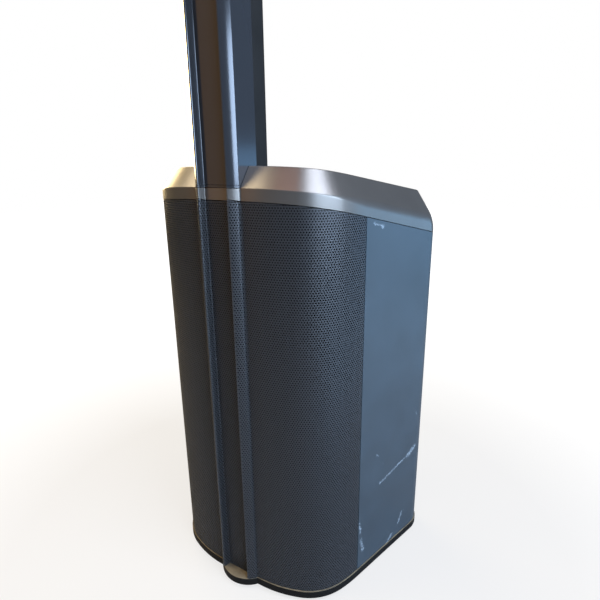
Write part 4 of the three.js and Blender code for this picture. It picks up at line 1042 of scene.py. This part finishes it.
strip, strip_low, strip_high, strip_rim = array_grille_strip()
strip_piece = finished("array_grille_strip", strip, coat, sharp=40, flats=False)
install(strip_piece, "array", "steel", "array_grille")
rim_inner = Vector((strip_rim, 0, strip_rim))
rim_form = combined(
    block(strip_low, strip_high, 1.5 * MM, axis=1),
    block(strip_low + rim_inner - Vector((0, MM, 0)), strip_high - rim_inner + Vector((0, MM, 0)),
          MM, axis=1),
)
install(finished("array_grille_rim", rim_form, coat), "array", "steel")
backing_low = Vector((strip_low.x + 1.6 * MM, FRONT_FACE + 0.4 * MM, strip_low.z + 12 * MM))
backing_high = Vector((strip_high.x - 1.6 * MM, FRONT_FACE + 0.9 * MM, strip_high.z - 12 * MM))
backing = block(backing_low, backing_high, 1.2 * MM, axis=1)
install(finished("array_backing_cloth", backing, cloth), "array", "steel")

# Column ends: glass-filled polyamide plugs, screwed into the extrusions. Each spigot carries two rows of
# gold-flashed spring contacts, and the cap's socket block carries the pads that they press on.
polyamide = moulded_plastic("polyamide, glass filled", "#17181a", 0.52, 0.6 * MM)
CONTACT = Vector((1.6, 1.2, 1.2)) * MM
CONTACT_PITCH = 4 * MM
CONTACT_OUT = 0.8 * MM
PLUG_PLATE = 8 * MM
PLUG_GAP = 0.3 * MM


def gold_contact():
    """Phosphor bronze, gold flashed: warm, bright, and slightly rubbed along the wiping line."""
    material, tree, shader = new_material("phosphor bronze, gold flashed")
    place = add(tree, "TexCoord").outputs["Object"]
    rubbed = add(tree, "TexNoise", {"Scale": 1 / (0.8 * MM), "Detail": 3.0}, {"Vector": place})
    rough = add(tree, "MapRange", {"To Min": 0.16, "To Max": 0.36}, {"Value": rubbed.outputs["Fac"]})
    tree.links.new(rough.outputs["Result"], shader.inputs["Roughness"])
    shader.inputs["Base Color"].default_value = linear("#e2b35a")
    shader.inputs["Metallic"].default_value = 1.0
    return material


def merged(solids):
    """Gathers closed meshes that make up one piece."""
    whole = bmesh.new()
    for solid in solids:
        mesh = bpy.data.meshes.new("blank")
        bmesh.ops.recalc_face_normals(solid, faces=solid.faces)
        solid.to_mesh(mesh)
        solid.free()
        whole.from_mesh(mesh)
        bpy.data.meshes.remove(mesh)
    return whole


def contact_row(name, body, bottom):
    """Two rows of three contacts on the lower end of a spigot or on a socket's floor."""
    pins = []
    for i in (-1, 0, 1):
        for side in (-1, 1):
            middle = Vector((i * CONTACT_PITCH, SPIGOT_BACK + side * CONTACT_PITCH, bottom))
            pins.append(block(middle - Vector((CONTACT.x, CONTACT.y, 0)) / 2,
                              middle + Vector((CONTACT.x / 2, CONTACT.y / 2, CONTACT.z)), 0.3 * MM))
    install(finished(name, merged(pins), gold), body, "steel")


def end_plug(name, node, body, hollow):
    """An end plug: its plate fills the section, and the spigot or cup hangs from it."""
    low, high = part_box(node)
    inset = COLUMN_WALL + PLUG_GAP
    plate = bmesh.new()
    half = COLUMN_HALF - inset
    right = [(half, inset + 1.5 * MM, 1.5 * MM), (half, COLUMN_DEPTH - inset, COLUMN_REAR_RADIUS - inset)]
    outline = rounded_outline(plate, both_sides(right), 0)
    upright(plate, outline, PLUG_PLATE)
    bmesh.ops.translate(plate, vec=(0, 0, high.z - PLUG_PLATE), verts=plate.verts)
    if hollow:
        plate = combined(plate, spigot_block(COLUMN_WALL, low.z, high.z - MM), "UNION")
        plate = combined(plate, spigot_block(SLIP_GAP, low.z + COLUMN_WALL, high.z + MM))
    else:
        plate = combined(plate, spigot_block(0, low.z, high.z - MM), "UNION")
    install(finished(name, plate, polyamide), body, "control", node)


gold = gold_contact()
end_plug("spacer_foot_plug", "spacer_foot", "spacer", False)
end_plug("spacer_head_plug", "spacer_head", "spacer", True)
end_plug("array_foot_plug", "array_foot", "array", False)
socket_low, socket_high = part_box("column_socket")
socket_form = block(socket_low, socket_high, 2 * MM)
install(finished("socket_contact_block", socket_form, polyamide), "cabinet", "control", "column_socket")
contact_row("socket_contact_pads", "cabinet", socket_high.z - 0.2 * MM)
contact_row("spacer_spigot_contacts", "spacer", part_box("spacer_foot")[0].z - CONTACT_OUT)
contact_row("array_spigot_contacts", "array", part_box("array_foot")[0].z - CONTACT_OUT)

lid_low, lid_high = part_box("array_top_cap")
array_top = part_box("array_profile")[1].z + 0.3 * MM
lid = bmesh.new()
upright(lid, column_outline(lid, array_top), lid_high.z - array_top)
rounded(lid, level_edges(lid, lid_high.z), 1.4 * MM)
plug_half = COLUMN_HALF - COLUMN_WALL - 0.5 * MM
lid = combined(lid, block((-plug_half, FRONT_FACE + 5 * MM, lid_low.z),
                          (plug_half, FRONT_FACE + COLUMN_DEPTH - 5 * MM, array_top + MM), 6 * MM), "UNION")
install(finished("array_end_cap", lid, polyamide), "array", "control", "array_top_cap")

# Wiring loom: four PVC-insulated wires, twisted round each other, that run up inside the spacer from its
# foot plug to its head plug and join the contacts of both.
LOOM_WIRES = ["#7a1612", "#101010", "#1d3a7a", "#6b6b66"]
LOOM_TURNS = 11
STEPS_PER_TURN = 18


def pvc_insulation(name, colour):
    """PVC wire insulation: smooth, softly glossy, with a faint dusty cloudiness."""
    material, tree, shader = new_material(name)
    place = add(tree, "TexCoord").outputs["Object"]
    cloud = add(tree, "TexNoise", {"Scale": 1 / (6 * MM), "Detail": 4.0}, {"Vector": place})
    rough = add(tree, "MapRange", {"To Min": 0.3, "To Max": 0.5}, {"Value": cloud.outputs["Fac"]})
    tree.links.new(rough.outputs["Result"], shader.inputs["Roughness"])
    shader.inputs["Base Color"].default_value = linear(colour)
    return material


loom_low, loom_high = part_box("spacer_loom")
wire_radius = (loom_high.x - loom_low.x) / 4.6
for number, colour in enumerate(LOOM_WIRES):
    wire = bmesh.new()
    phase = math.tau * number / len(LOOM_WIRES)
    ring_verts = bmesh.ops.create_circle(wire, cap_ends=True, segments=10, radius=wire_radius)["verts"]
    lay = 1.2 * wire_radius
    bmesh.ops.translate(wire, vec=(lay * math.cos(phase), SPIGOT_BACK + lay * math.sin(phase), loom_low.z),
                        verts=ring_verts)
    bmesh.ops.spin(wire, geom=wire.faces[:], cent=(0, SPIGOT_BACK, 0), axis=(0, 0, 1),
                   dvec=(0, 0, (loom_high.z - loom_low.z) / (LOOM_TURNS * STEPS_PER_TURN)),
                   angle=math.tau * LOOM_TURNS, steps=LOOM_TURNS * STEPS_PER_TURN)
    sheath = pvc_insulation(f"PVC insulation {number + 1}", colour)
    piece = finished(f"loom_wire_{number + 1}", wire, sheath, 60)
    install(piece, "spacer", "rubber", *(["spacer_loom"] if number == 0 else []))

# Carry handle: a moulded bar that bridges the grab pocket, with a soft elastomer grip that is ribbed all
# round between two plain ends.
GRIP_RIBS = 15
GRIP_WAIST = 0.9
GRIP_RIB = GRIP_WAIST + 0.05
handle_middle = (handle_low + handle_high) / 2
bar = bmesh.new()
bmesh.ops.create_circle(bar, cap_ends=True, segments=28, radius=1)
bmesh.ops.scale(bar, vec=((handle_high.z - handle_low.z) / 2, (handle_high.y - handle_low.y) / 2, 1),
                verts=bar.verts)
bmesh.ops.rotate(bar, verts=bar.verts, cent=(0, 0, 0), matrix=Matrix.Rotation(math.radians(90), 3, "Y"))
bmesh.ops.translate(bar, vec=(handle_low.x, handle_middle.y, handle_middle.z), verts=bar.verts)
end_face = bar.faces[:][0]
stations = [(0.06, 1.0), (0.09, GRIP_WAIST)]
for rib in range(GRIP_RIBS):
    start = 0.12 + 0.76 * rib / GRIP_RIBS
    stations += [(start + 0.012, GRIP_RIB), (start + 0.03, GRIP_RIB), (start + 0.04, GRIP_WAIST)]
stations += [(0.91, GRIP_WAIST), (0.94, 1.0), (1.0, 1.0)]
face, size = end_face, 1.0
bar_length = handle_high.x - handle_low.x
for share, scale in stations:
    pulled = bmesh.ops.extrude_face_region(bar, geom=[face], use_keep_orig=face is end_face)["geom"]
    verts = verts_of(pulled)
    face = next(g for g in pulled if isinstance(g, bmesh.types.BMFace))
    here = verts[0].co.x
    bmesh.ops.translate(bar, vec=(handle_low.x + share * bar_length - here, 0, 0), verts=verts)
    middle = Matrix.Translation(-Vector((0, handle_middle.y, handle_middle.z)))
    bmesh.ops.scale(bar, vec=(1, scale / size, scale / size), space=middle, verts=verts)
    size = scale
elastomer = moulded_rubber("thermoplastic elastomer, matt")
install(finished("carry_handle_grip", bar, elastomer, sharp=50), "cabinet", "rubber", "carry_handle")

# Amplifier panel: folded steel sheet, powder coated, held in the rear opening by button-head screws. It
# carries two combo inputs, a link output, three level knobs, two buttons, a display and the heat sink.
panel_powder = powder_coat("steel sheet, powder coated, fine texture")


def finish_nodes(material, *names):
    """Gives CAD nodes that stay in view their finish, in the first slot."""
    for name in names:
        materials = nodes[name].data.materials
        materials.clear()
        materials.append(material)


finish_nodes(panel_powder, "amplifier_panel")
REAR_FACE = panel_high.y
SCREW_ROWS = 5
SCREW_END = 9 * MM
SCREW_SIDE = 7 * MM
nylon = moulded_plastic("polyamide, moulded matt", "#101112", 0.48, 0.5 * MM)


def screw(x, z, radius=3.2 * MM, face=None):
    """A button-head screw on a face that looks to the rear, with its driver socket."""
    level = REAR_FACE if face is None else face
    return turned([
        (0, 0.5 * MM), (radius * 0.42, 0.7 * MM), (radius * 0.46, 1.7 * MM), (radius * 0.75, 1.5 * MM),
        (radius * 0.95, 0.8 * MM), (radius, 0.05 * MM), (0, 0.05 * MM),
    ], (0, 1, 0), (x, level, z), segments=18)


screw_rows = []
screw_pitch = (opening_high.z - opening_low.z - 2 * SCREW_END) / (SCREW_ROWS - 1)
for i in range(SCREW_ROWS):
    height = opening_low.z + SCREW_END + i * screw_pitch
    screw_rows += [screw(side * (opening_high.x - SCREW_SIDE), height) for side in (-1, 1)]
install(finished("panel_screws", merged(screw_rows), black_steel), "cabinet", "steel")

# Sockets: two combo inputs and a link output. Each is a moulded polyamide housing held to the panel by two
# screws, with a core inside its bore and three nickel-plated contact pins that stand out of the core.


def nickel_plate():
    """Brass, nickel plated: bright and a little yellow, with fine wear from plugging."""
    material, tree, shader = new_material("brass, nickel plated")
    place = add(tree, "TexCoord").outputs["Object"]
    wear = add(tree, "TexNoise", {"Scale": 1 / (1.2 * MM), "Detail": 4.0}, {"Vector": place})
    rough = add(tree, "MapRange", {"To Min": 0.14, "To Max": 0.34}, {"Value": wear.outputs["Fac"]})
    tree.links.new(rough.outputs["Result"], shader.inputs["Roughness"])
    shader.inputs["Base Color"].default_value = linear("#cfc9bb")
    shader.inputs["Metallic"].default_value = 1.0
    return material


nickel = nickel_plate()
JACK_BORE = 8.5 * MM
JACK_BARREL = 10 * MM
JACK_CORE = 7.6 * MM
TIP_HOLE = 3.3 * MM
PIN_CIRCLE = 5.5 * MM
PIN_RADIUS = 0.9 * MM
for name in ("combo_jack_1", "combo_jack_2", "link_jack"):
    low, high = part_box(name)
    at = (low + high) / 2
    flange = block((low.x, high.y - 2.5 * MM, low.z), high, 4 * MM, axis=1)
    barrel = turned([
        (0, low.y), (JACK_BARREL, low.y), (JACK_BARREL, high.y - MM), (0, high.y - MM),
    ], (0, 1, 0), (at.x, 0, at.z), 40)
    bore = turned([
        (0, low.y + 3 * MM), (JACK_BORE, low.y + 3 * MM), (JACK_BORE, high.y - 1.2 * MM),
        (JACK_BORE + MM, high.y + MM), (0, high.y + MM),
    ], (0, 1, 0), (at.x, 0, at.z), 40)
    body = combined(combined(flange, barrel, "UNION"), bore)
    install(finished(f"{name}_housing", body, nylon), "cabinet", "control", name)
    core_back = low.y + 3.2 * MM
    core_face = high.y - 4 * MM
    eased = 0.4 * MM
    core = turned([
        (TIP_HOLE, core_back), (JACK_CORE, core_back), (JACK_CORE, core_face - eased),
        (JACK_CORE - eased, core_face), (TIP_HOLE + eased, core_face), (TIP_HOLE, core_face - eased),
        (TIP_HOLE, core_back),
    ], (0, 1, 0), (at.x, 0, at.z), 36)
    install(finished(f"{name}_core", core, polyamide), "cabinet", "control")
    pin_tip = high.y - 2.9 * MM
    pins = [turned([
        (0, low.y + 3.3 * MM), (PIN_RADIUS, low.y + 3.3 * MM), (PIN_RADIUS, pin_tip - 0.5 * MM),
        (PIN_RADIUS - eased, pin_tip), (0, pin_tip),
    ], (0, 1, 0), (at.x + PIN_CIRCLE * math.sin(turn), 0, at.z + PIN_CIRCLE * math.cos(turn)), 12)
        for turn in (math.radians(a) for a in (60, 180, 300))]
    pins += [screw(at.x + sx * 10.2 * MM, at.z + sz * 10.2 * MM, 1.7 * MM, high.y)
             for sx, sz in ((-1, 1), (1, -1))]
    install(finished(f"{name}_contacts", merged(pins), nickel), "cabinet", "steel")

# Level knobs: moulded ABS with a soft-touch lacquer, fluted for grip, with a white pointer let into each
# one's face. Each is pressed onto the shaft of its control behind the panel.
soft_touch = moulded_plastic("ABS, soft-touch lacquer", "#151617", 0.66, 0.4 * MM)
pointer_paint = moulded_plastic("pointer paint, white", "#d9d8d2", 0.5, 0.3 * MM)
FLUTES = 18
for name in ("channel_1_knob", "channel_2_knob", "sub_level_knob"):
    low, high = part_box(name)
    at = (low + high) / 2
    skirt = (high.x - low.x) / 2
    foot = REAR_FACE + 0.3 * MM
    knob = turned([
        (0, low.y), (3 * MM, low.y), (3 * MM, foot), (skirt, foot), (skirt, foot + 1.6 * MM),
        (skirt - 0.6 * MM, foot + 2.2 * MM), (skirt - 1.2 * MM, foot + 2.4 * MM),
        (skirt - 1.6 * MM, high.y - 1.2 * MM), (skirt - 2.4 * MM, high.y - 0.3 * MM),
        (skirt - 4 * MM, high.y), (0, high.y),
    ], (0, 1, 0), (at.x, 0, at.z), segments=FLUTES * 4)
    for vert in knob.verts:
        radial = Vector((vert.co.x - at.x, 0, vert.co.z - at.z))
        if foot + 2.3 * MM < vert.co.y < high.y - MM and radial.length > 5 * MM:
            wave = math.cos(math.atan2(radial.z, radial.x) * FLUTES)
            vert.co -= radial.normalized() * 0.35 * MM * (0.5 - 0.5 * wave)
    install(finished(f"{name}_cap", knob, soft_touch, sharp=40), name, "control", name)
    pointer = block((at.x - 0.6 * MM, high.y - 0.5 * MM, at.z + 2 * MM),
                    (at.x + 0.6 * MM, high.y - 0.02 * MM, at.z + skirt - 3.2 * MM), 0.3 * MM, axis=1)
    install(finished(f"{name}_pointer", pointer, pointer_paint), name, "control")

# Buttons: moulded rubber caps with a dished top, each inside a raised polyamide collar that is snapped
# into the panel.
for name in ("mode_button", "pair_button"):
    low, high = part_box(name)
    at = (low + high) / 2
    radius = (high.x - low.x) / 2
    button = turned([
        (0, low.y), (radius, low.y), (radius, high.y - 1.2 * MM), (radius - 0.5 * MM, high.y - 0.3 * MM),
        (radius - 1.3 * MM, high.y), (radius * 0.4, high.y - 0.35 * MM), (0, high.y - 0.45 * MM),
    ], (0, 1, 0), (at.x, 0, at.z), segments=32)
    install(finished(f"{name}_cap", button, rubber), name, "rubber", name)
    collar = turned([
        (radius + 0.5 * MM, 0.1 * MM), (radius + 2.2 * MM, 0.1 * MM), (radius + 2 * MM, 0.9 * MM),
        (radius + 0.8 * MM, 1.1 * MM), (radius + 0.5 * MM, 0.8 * MM), (radius + 0.5 * MM, 0.1 * MM),
    ], (0, 1, 0), (at.x, REAR_FACE, at.z), segments=32)
    install(finished(f"{name}_collar", collar, nylon), "cabinet", "control")

# Mains inlet: a moulded appliance inlet with three nickel-plated blades in a well with rounded corners,
# fixed to the panel by two screws.
inlet_low, inlet_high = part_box("mains_inlet")
inlet_at = (inlet_low + inlet_high) / 2
well_half = Vector((13 * MM, 0, 9 * MM))
inlet = combined(
    block((inlet_low.x, inlet_high.y - 3 * MM, inlet_low.z), inlet_high, 5 * MM, axis=1),
    block((inlet_at.x - 15 * MM, inlet_low.y, inlet_at.z - 11 * MM),
          (inlet_at.x + 15 * MM, inlet_high.y - MM, inlet_at.z + 11 * MM), 2 * MM, axis=1),
    "UNION",
)
well = block((inlet_at.x - well_half.x, inlet_low.y + 3 * MM, inlet_at.z - well_half.z),
             (inlet_at.x + well_half.x, inlet_high.y + MM, inlet_at.z + well_half.z), 3.5 * MM, axis=1)
install(finished("mains_inlet_housing", combined(inlet, well), nylon), "cabinet", "control", "mains_inlet")
blades = [block((inlet_at.x + x - 2 * MM, inlet_low.y + 3.1 * MM, inlet_at.z + z - MM),
                (inlet_at.x + x + 2 * MM, inlet_high.y - 5 * MM, inlet_at.z + z + MM), 0.5 * MM, axis=1)
          for x, z in ((-7 * MM, -2.5 * MM), (7 * MM, -2.5 * MM), (0, 3 * MM))]
blades += [screw(inlet_at.x + side * 19 * MM, inlet_at.z, 2.4 * MM, inlet_high.y) for side in (-1, 1)]
install(finished("mains_inlet_blades", merged(blades), nickel), "cabinet", "steel")

# Power switch: a moulded rocker, lower in its middle than at its two ends, that tips in a snap-in
# polyamide frame.
rocker_low, rocker_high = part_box("power_switch")
rocker_at = (rocker_low + rocker_high) / 2
rocker = bmesh.new()
rocker_profile = [(rocker_low.z, rocker_high.y), (rocker_at.z - 4 * MM, rocker_high.y - 1.0 * MM),
                  (rocker_at.z, rocker_high.y - 1.2 * MM), (rocker_at.z + 4 * MM, rocker_high.y - 1.0 * MM),
                  (rocker_high.z, rocker_high.y), (rocker_high.z - 2 * MM, rocker_low.y),
                  (rocker_low.z + 2 * MM, rocker_low.y)]
side = rocker.faces.new([rocker.verts.new((rocker_low.x, y, z)) for z, y in rocker_profile])
pulled = bmesh.ops.extrude_face_region(rocker, geom=[side], use_keep_orig=True)["geom"]
bmesh.ops.translate(rocker, vec=(rocker_high.x - rocker_low.x, 0, 0), verts=verts_of(pulled))
bmesh.ops.recalc_face_normals(rocker, faces=rocker.faces)
rounded(rocker, [e for e in rocker.edges if e.calc_face_angle(0) > math.radians(40)
                 and min(v.co.y for v in e.verts) > rocker_low.y + MM], 0.6 * MM)
install(finished("power_switch_rocker", rocker, nylon), "power_switch", "control", "power_switch")
frame_gap = Vector((0.8 * MM, 0, 0.8 * MM))
frame_edge = Vector((2.6 * MM, 0, 2.6 * MM))
switch_frame = combined(
    block(Vector((rocker_low.x, REAR_FACE + 0.1 * MM, rocker_low.z)) - frame_edge,
          Vector((rocker_high.x, REAR_FACE + 1.3 * MM, rocker_high.z)) + frame_edge, 2 * MM, axis=1),
    block(Vector((rocker_low.x, REAR_FACE - MM, rocker_low.z)) - frame_gap,
          Vector((rocker_high.x, REAR_FACE + 3 * MM, rocker_high.z)) + frame_gap, 0.8 * MM, axis=1),
)
install(finished("power_switch_frame", switch_frame, nylon), "cabinet", "control")

# Display: a pane of smoked acrylic in a raised moulded bezel, with a level meter of nine rising bars
# printed on it.
display_low, display_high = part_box("display_window")


def smoked_acrylic():
    """Acrylic, smoked and polished: near black and glossy, with a few hairline wipes."""
    material, tree, shader = new_material("acrylic, smoked, polished")
    place = add(tree, "TexCoord").outputs["Object"]
    wiped = add(tree, "Mapping", {"Scale": (1, 1, 14)}, {"Vector": place})
    hair = add(tree, "TexNoise", {"Scale": 1 / (4 * MM), "Detail": 5.0}, {"Vector": wiped.outputs["Vector"]})
    rough = add(tree, "MapRange", {"To Min": 0.04, "To Max": 0.16}, {"Value": hair.outputs["Fac"]})
    tree.links.new(rough.outputs["Result"], shader.inputs["Roughness"])
    shader.inputs["Base Color"].default_value = linear("#08090b")
    shader.inputs["IOR"].default_value = 1.49
    return material


acrylic = smoked_acrylic()
bezel_edge = Vector((1.2 * MM, 0, 1.2 * MM))
pane = block(display_low, display_high - Vector((0, 0.4 * MM, 0)), 2 * MM, axis=1)
install(finished("display_pane", pane, acrylic), "cabinet", "glass", "display_window")
bezel = combined(
    block(display_low - bezel_edge, display_high + bezel_edge, 3 * MM, axis=1),
    block(display_low + bezel_edge - Vector((0, MM, 0)), display_high - bezel_edge + Vector((0, MM, 0)),
          MM, axis=1),
)
install(finished("display_bezel", bezel, nylon), "cabinet", "control")
meter = [block((display_low.x + (8 + 3.4 * i) * MM, display_high.y - 0.39 * MM, display_low.z + 8 * MM),
               (display_low.x + (10 + 3.4 * i) * MM, display_high.y - 0.3 * MM,
                display_low.z + (10 + 0.9 * i) * MM)) for i in range(9)]
meter_paint = moulded_plastic("meter print, pale green", "#8fbf9a", 0.5, 0.3 * MM)
install(finished("display_meter", merged(meter), meter_paint), "cabinet", "glass")

# Heat sink: an aluminium extrusion, black anodised, with fifteen upright fins whose tips are rounded. It
# is fixed to the outside of the panel by its base.
sink_low, sink_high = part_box("heat_sink")
FINS = 15
FIN_WIDTH = 2.4 * MM
SINK_BASE = 2.2 * MM
sink_pitch = (sink_high.x - sink_low.x - FIN_WIDTH) / (FINS - 1)
fins = bmesh.new()
outline = [(sink_low.x, sink_low.y), (sink_high.x, sink_low.y)]
for i in range(FINS):
    right_side = sink_high.x - i * sink_pitch
    left_side = right_side - FIN_WIDTH
    outline += [(right_side, sink_high.y), (left_side, sink_high.y)]
    if i < FINS - 1:
        outline += [(left_side, sink_low.y + SINK_BASE), (right_side - sink_pitch, sink_low.y + SINK_BASE)]
base_face = fins.faces.new([fins.verts.new((x, y, sink_low.z)) for x, y in outline])
upright(fins, base_face, sink_high.z - sink_low.z)
tips = [e for e in fins.edges if all(abs(v.co.y - sink_high.y) < TINY for v in e.verts)
        and abs(e.verts[0].co.z - e.verts[1].co.z) > MM]
rounded(fins, tips, 0.8 * MM)
sink_finish = anodised("aluminium extrusion, black anodised", "#3a3c40", 0.34)
install(finished("heat_sink_extrusion", fins, sink_finish), "cabinet", "panel", "heat_sink")

# Circuit boards: green epoxy glass with capacitors and a transformer on each, carried on the inside of
# the amplifier panel.


def solder_mask():
    """Epoxy glass board, green solder mask: fine copper tracks show through as paler lines."""
    material, tree, shader = new_material("epoxy glass board, solder mask")
    place = add(tree, "TexCoord").outputs["Object"]
    tracks = add(tree, "TexBrick", {"Scale": 1 / (14 * MM), "Color1": linear("#1a4a2a"),
                                    "Color2": linear("#215a34"), "Mortar": linear("#4f8f5a")})
    turned_map = add(tree, "Mapping", {"Rotation": (math.pi / 2, 0, 0)}, {"Vector": place})
    tree.links.new(turned_map.outputs["Vector"], tracks.inputs["Vector"])
    tree.links.new(tracks.outputs["Color"], shader.inputs["Base Color"])
    shader.inputs["Roughness"].default_value = 0.35
    return material


mask = solder_mask()
sleeve = pvc_insulation("capacitor sleeve, PVC", "#15181c")
winding = moulded_plastic("transformer tape, polyester", "#8a7a2e", 0.45, 1.5 * MM)
for name in ("amplifier_board", "power_supply"):
    low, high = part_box(name)
    board_face = high.y - 1.6 * MM
    board = block((low.x, board_face, low.z), high, 2 * MM, axis=1)
    install(finished(f"{name}_laminate", board, mask), "cabinet", "pcb", name)
    depth = board_face - low.y
    cans = []
    for i in range(6):
        radius = (7 + 2.5 * (i % 3)) * MM
        x = low.x + (22 + i * 26) * MM
        z = low.z + (22 + 14 * (i % 2)) * MM
        can = min(depth, (16 + 5 * (i % 3)) * MM)
        profile = [(0, 0), (radius, 0), (radius, can - MM), (radius - MM, can), (0, can)]
        cans.append(turned(profile, (0, -1, 0), (x, board_face - 0.1 * MM, z), 28))
    install(finished(f"{name}_capacitors", merged(cans), sleeve), "cabinet", "pcb")
    coil_half = Vector((20 * MM, 0, 16 * MM))
    coil_at = Vector(((low.x + high.x) / 2 + 30 * MM, 0, high.z - 24 * MM))
    coil = block((coil_at.x - coil_half.x, board_face - min(depth, 24 * MM), coil_at.z - coil_half.z),
                 (coil_at.x + coil_half.x, board_face - 0.1 * MM, coil_at.z + coil_half.z), 3 * MM, axis=1)
    install(finished(f"{name}_transformer", coil, winding), "cabinet", "pcb")
finish_nodes(mask, "crossover_board")

# Baffle and brace: medium-density fibreboard, routed for the woofers and the port. The array's baffle is
# a polyamide moulding.


def fibreboard():
    """Medium-density fibreboard: pressed brown fibres, matt, with darker flecks of bark."""
    material, tree, shader = new_material("medium-density fibreboard")
    place = add(tree, "TexCoord").outputs["Object"]
    fibres = add(tree, "TexNoise", {"Scale": 1 / (1.5 * MM), "Detail": 6.0}, {"Vector": place})
    colour = add(tree, "Mix", {"A": linear("#5a4532"), "B": linear("#8a6c4c")},
                 {"Factor": fibres.outputs["Fac"]}, data_type="RGBA")
    bump = add(tree, "Bump", {"Strength": 0.3, "Distance": 0.1 * MM}, {"Height": fibres.outputs["Fac"]})
    tree.links.new(colour.outputs["Result"], shader.inputs["Base Color"])
    tree.links.new(bump.outputs["Normal"], shader.inputs["Normal"])
    shader.inputs["Roughness"].default_value = 0.88
    return material


finish_nodes(fibreboard(), "baffle", "brace")
finish_nodes(polyamide, "array_baffle")

# Port: a moulded polyamide tube with a flared mouth and a flange, which is pressed into the baffle from
# in front.
port_low, port_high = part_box("port_tube")
port_at = (port_low + port_high) / 2
port_outer = (port_high.x - port_low.x) / 2 - 5 * MM
port_inner = port_outer - 3 * MM
port = turned([
    (port_inner, port_low.y + 6 * MM), (port_inner + 0.8 * MM, port_low.y + 2 * MM),
    (port_inner + 3 * MM, port_low.y), (port_outer + 5 * MM, port_low.y),
    (port_outer + 5 * MM, port_low.y + 2.6 * MM), (port_outer, port_low.y + 2.6 * MM),
    (port_outer, port_high.y), (port_inner, port_high.y), (port_inner, port_low.y + 6 * MM),
], (0, 1, 0), (port_at.x, 0, port_at.z), segments=56)
install(finished("port_tube_moulding", port, nylon), "cabinet", "control", "port_tube")

# Woofers: pressed steel baskets, ferrite motors, and ribbed paper cones. Each cone is turned in one piece
# with its half-roll surround and its voice coil, and all of it has the paper's finish.


def pressed_paper():
    """Paper pulp, pressed and dyed black: a felted surface with pale stray fibres."""
    material, tree, shader = new_material("paper pulp, pressed, black")
    place = add(tree, "TexCoord").outputs["Object"]
    felt = add(tree, "TexNoise", {"Scale": 1 / (0.9 * MM), "Detail": 6.0}, {"Vector": place})
    colour = add(tree, "Mix", {"A": linear("#0d0d0d"), "B": linear("#2a2a29")},
                 {"Factor": felt.outputs["Fac"]}, data_type="RGBA")
    bump = add(tree, "Bump", {"Strength": 0.5, "Distance": 0.12 * MM}, {"Height": felt.outputs["Fac"]})
    tree.links.new(colour.outputs["Result"], shader.inputs["Base Color"])
    tree.links.new(bump.outputs["Normal"], shader.inputs["Normal"])
    shader.inputs["Roughness"].default_value = 0.86
    return material


def ferrite():
    """Ferrite, ground flat: dark grey ceramic with a granular break."""
    material, tree, shader = new_material("ferrite, ground")
    place = add(tree, "TexCoord").outputs["Object"]
    grit = add(tree, "TexNoise", {"Scale": 1 / (1.3 * MM), "Detail": 5.0}, {"Vector": place})
    colour = add(tree, "Mix", {"A": linear("#2c2c2e"), "B": linear("#4a4a4b")},
                 {"Factor": grit.outputs["Fac"]}, data_type="RGBA")
    bump = add(tree, "Bump", {"Strength": 0.3, "Distance": 0.08 * MM}, {"Height": grit.outputs["Fac"]})
    tree.links.new(colour.outputs["Result"], shader.inputs["Base Color"])
    tree.links.new(bump.outputs["Normal"], shader.inputs["Normal"])
    shader.inputs["Roughness"].default_value = 0.5
    return material


paper = pressed_paper()
magnet = ferrite()
for number in (1, 2):
    finish_nodes(coat, f"woofer_{number}_basket")
    finish_nodes(magnet, f"woofer_{number}_motor")
    low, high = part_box(f"woofer_{number}_cone")
    at = (low + high) / 2
    edge = (high.x - low.x) / 2
    cone = [(0, low.y + 37 * MM), (8 * MM, low.y + 37.6 * MM), (16 * MM, low.y + 40.5 * MM),
            (24 * MM, low.y + 45 * MM)]
    for i in range(1, 12):
        share = i / 12
        rib = 0.5 * MM if i % 3 == 0 else 0
        cone.append((24 * MM + share * (edge - 40 * MM), low.y + (45 - 43.4 * share) * MM + rib))
    roll_inner, roll = edge - 15 * MM, 7 * MM
    cone += [(roll_inner + roll * (1 - math.cos(a)), low.y + 1.4 * MM - 4 * MM * math.sin(a))
             for a in (math.pi * k / 8 for k in range(9))]
    cone += [(edge - 0.3 * MM, low.y + MM), (edge - 0.3 * MM, low.y + 2 * MM), (roll_inner, low.y + 3.2 * MM),
             (26.6 * MM, low.y + 47.5 * MM), (26.6 * MM, high.y), (25.2 * MM, high.y),
             (25.2 * MM, low.y + 48 * MM), (0, low.y + 40 * MM)]
    form = turned(cone, (0, 1, 0), (at.x, 0, at.z), segments=64)
    install(finished(f"woofer_{number}_cone_and_surround", form, paper, sharp=45), f"woofer_{number}_cone",
            "cone", f"woofer_{number}_cone")

# Line array drivers: six small full-range units, made as the woofers are, and a tweeter, all behind the
# window in the recess.
for number in range(1, 7):
    finish_nodes(coat, f"driver_{number}")
    low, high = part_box(f"driver_{number}_cone")
    at = (low + high) / 2
    edge = (high.x - low.x) / 2
    small = [(0, low.y + 5 * MM), (3 * MM, low.y + 5.4 * MM), (6 * MM, low.y + 7.5 * MM),
             (edge - 5 * MM, low.y + 1.6 * MM)]
    small += [(edge - 5 * MM + 2.2 * MM * (1 - math.cos(a)), low.y + 1.6 * MM - 1.5 * MM * math.sin(a))
              for a in (math.pi * k / 6 for k in range(1, 7))]
    small += [(edge, low.y + 1.6 * MM), (edge, low.y + 2.2 * MM), (edge - 5 * MM, low.y + 2.4 * MM),
              (7.7 * MM, low.y + 9.5 * MM), (7.7 * MM, high.y), (6.7 * MM, high.y),
              (6.7 * MM, low.y + 9.2 * MM), (0, low.y + 6.6 * MM)]
    form = turned(small, (0, 1, 0), (at.x, 0, at.z), segments=36)
    install(finished(f"driver_{number}_cone_and_surround", form, paper, sharp=45), f"driver_{number}_cone",
            "cone", f"driver_{number}_cone")
finish_nodes(nylon, "tweeter")
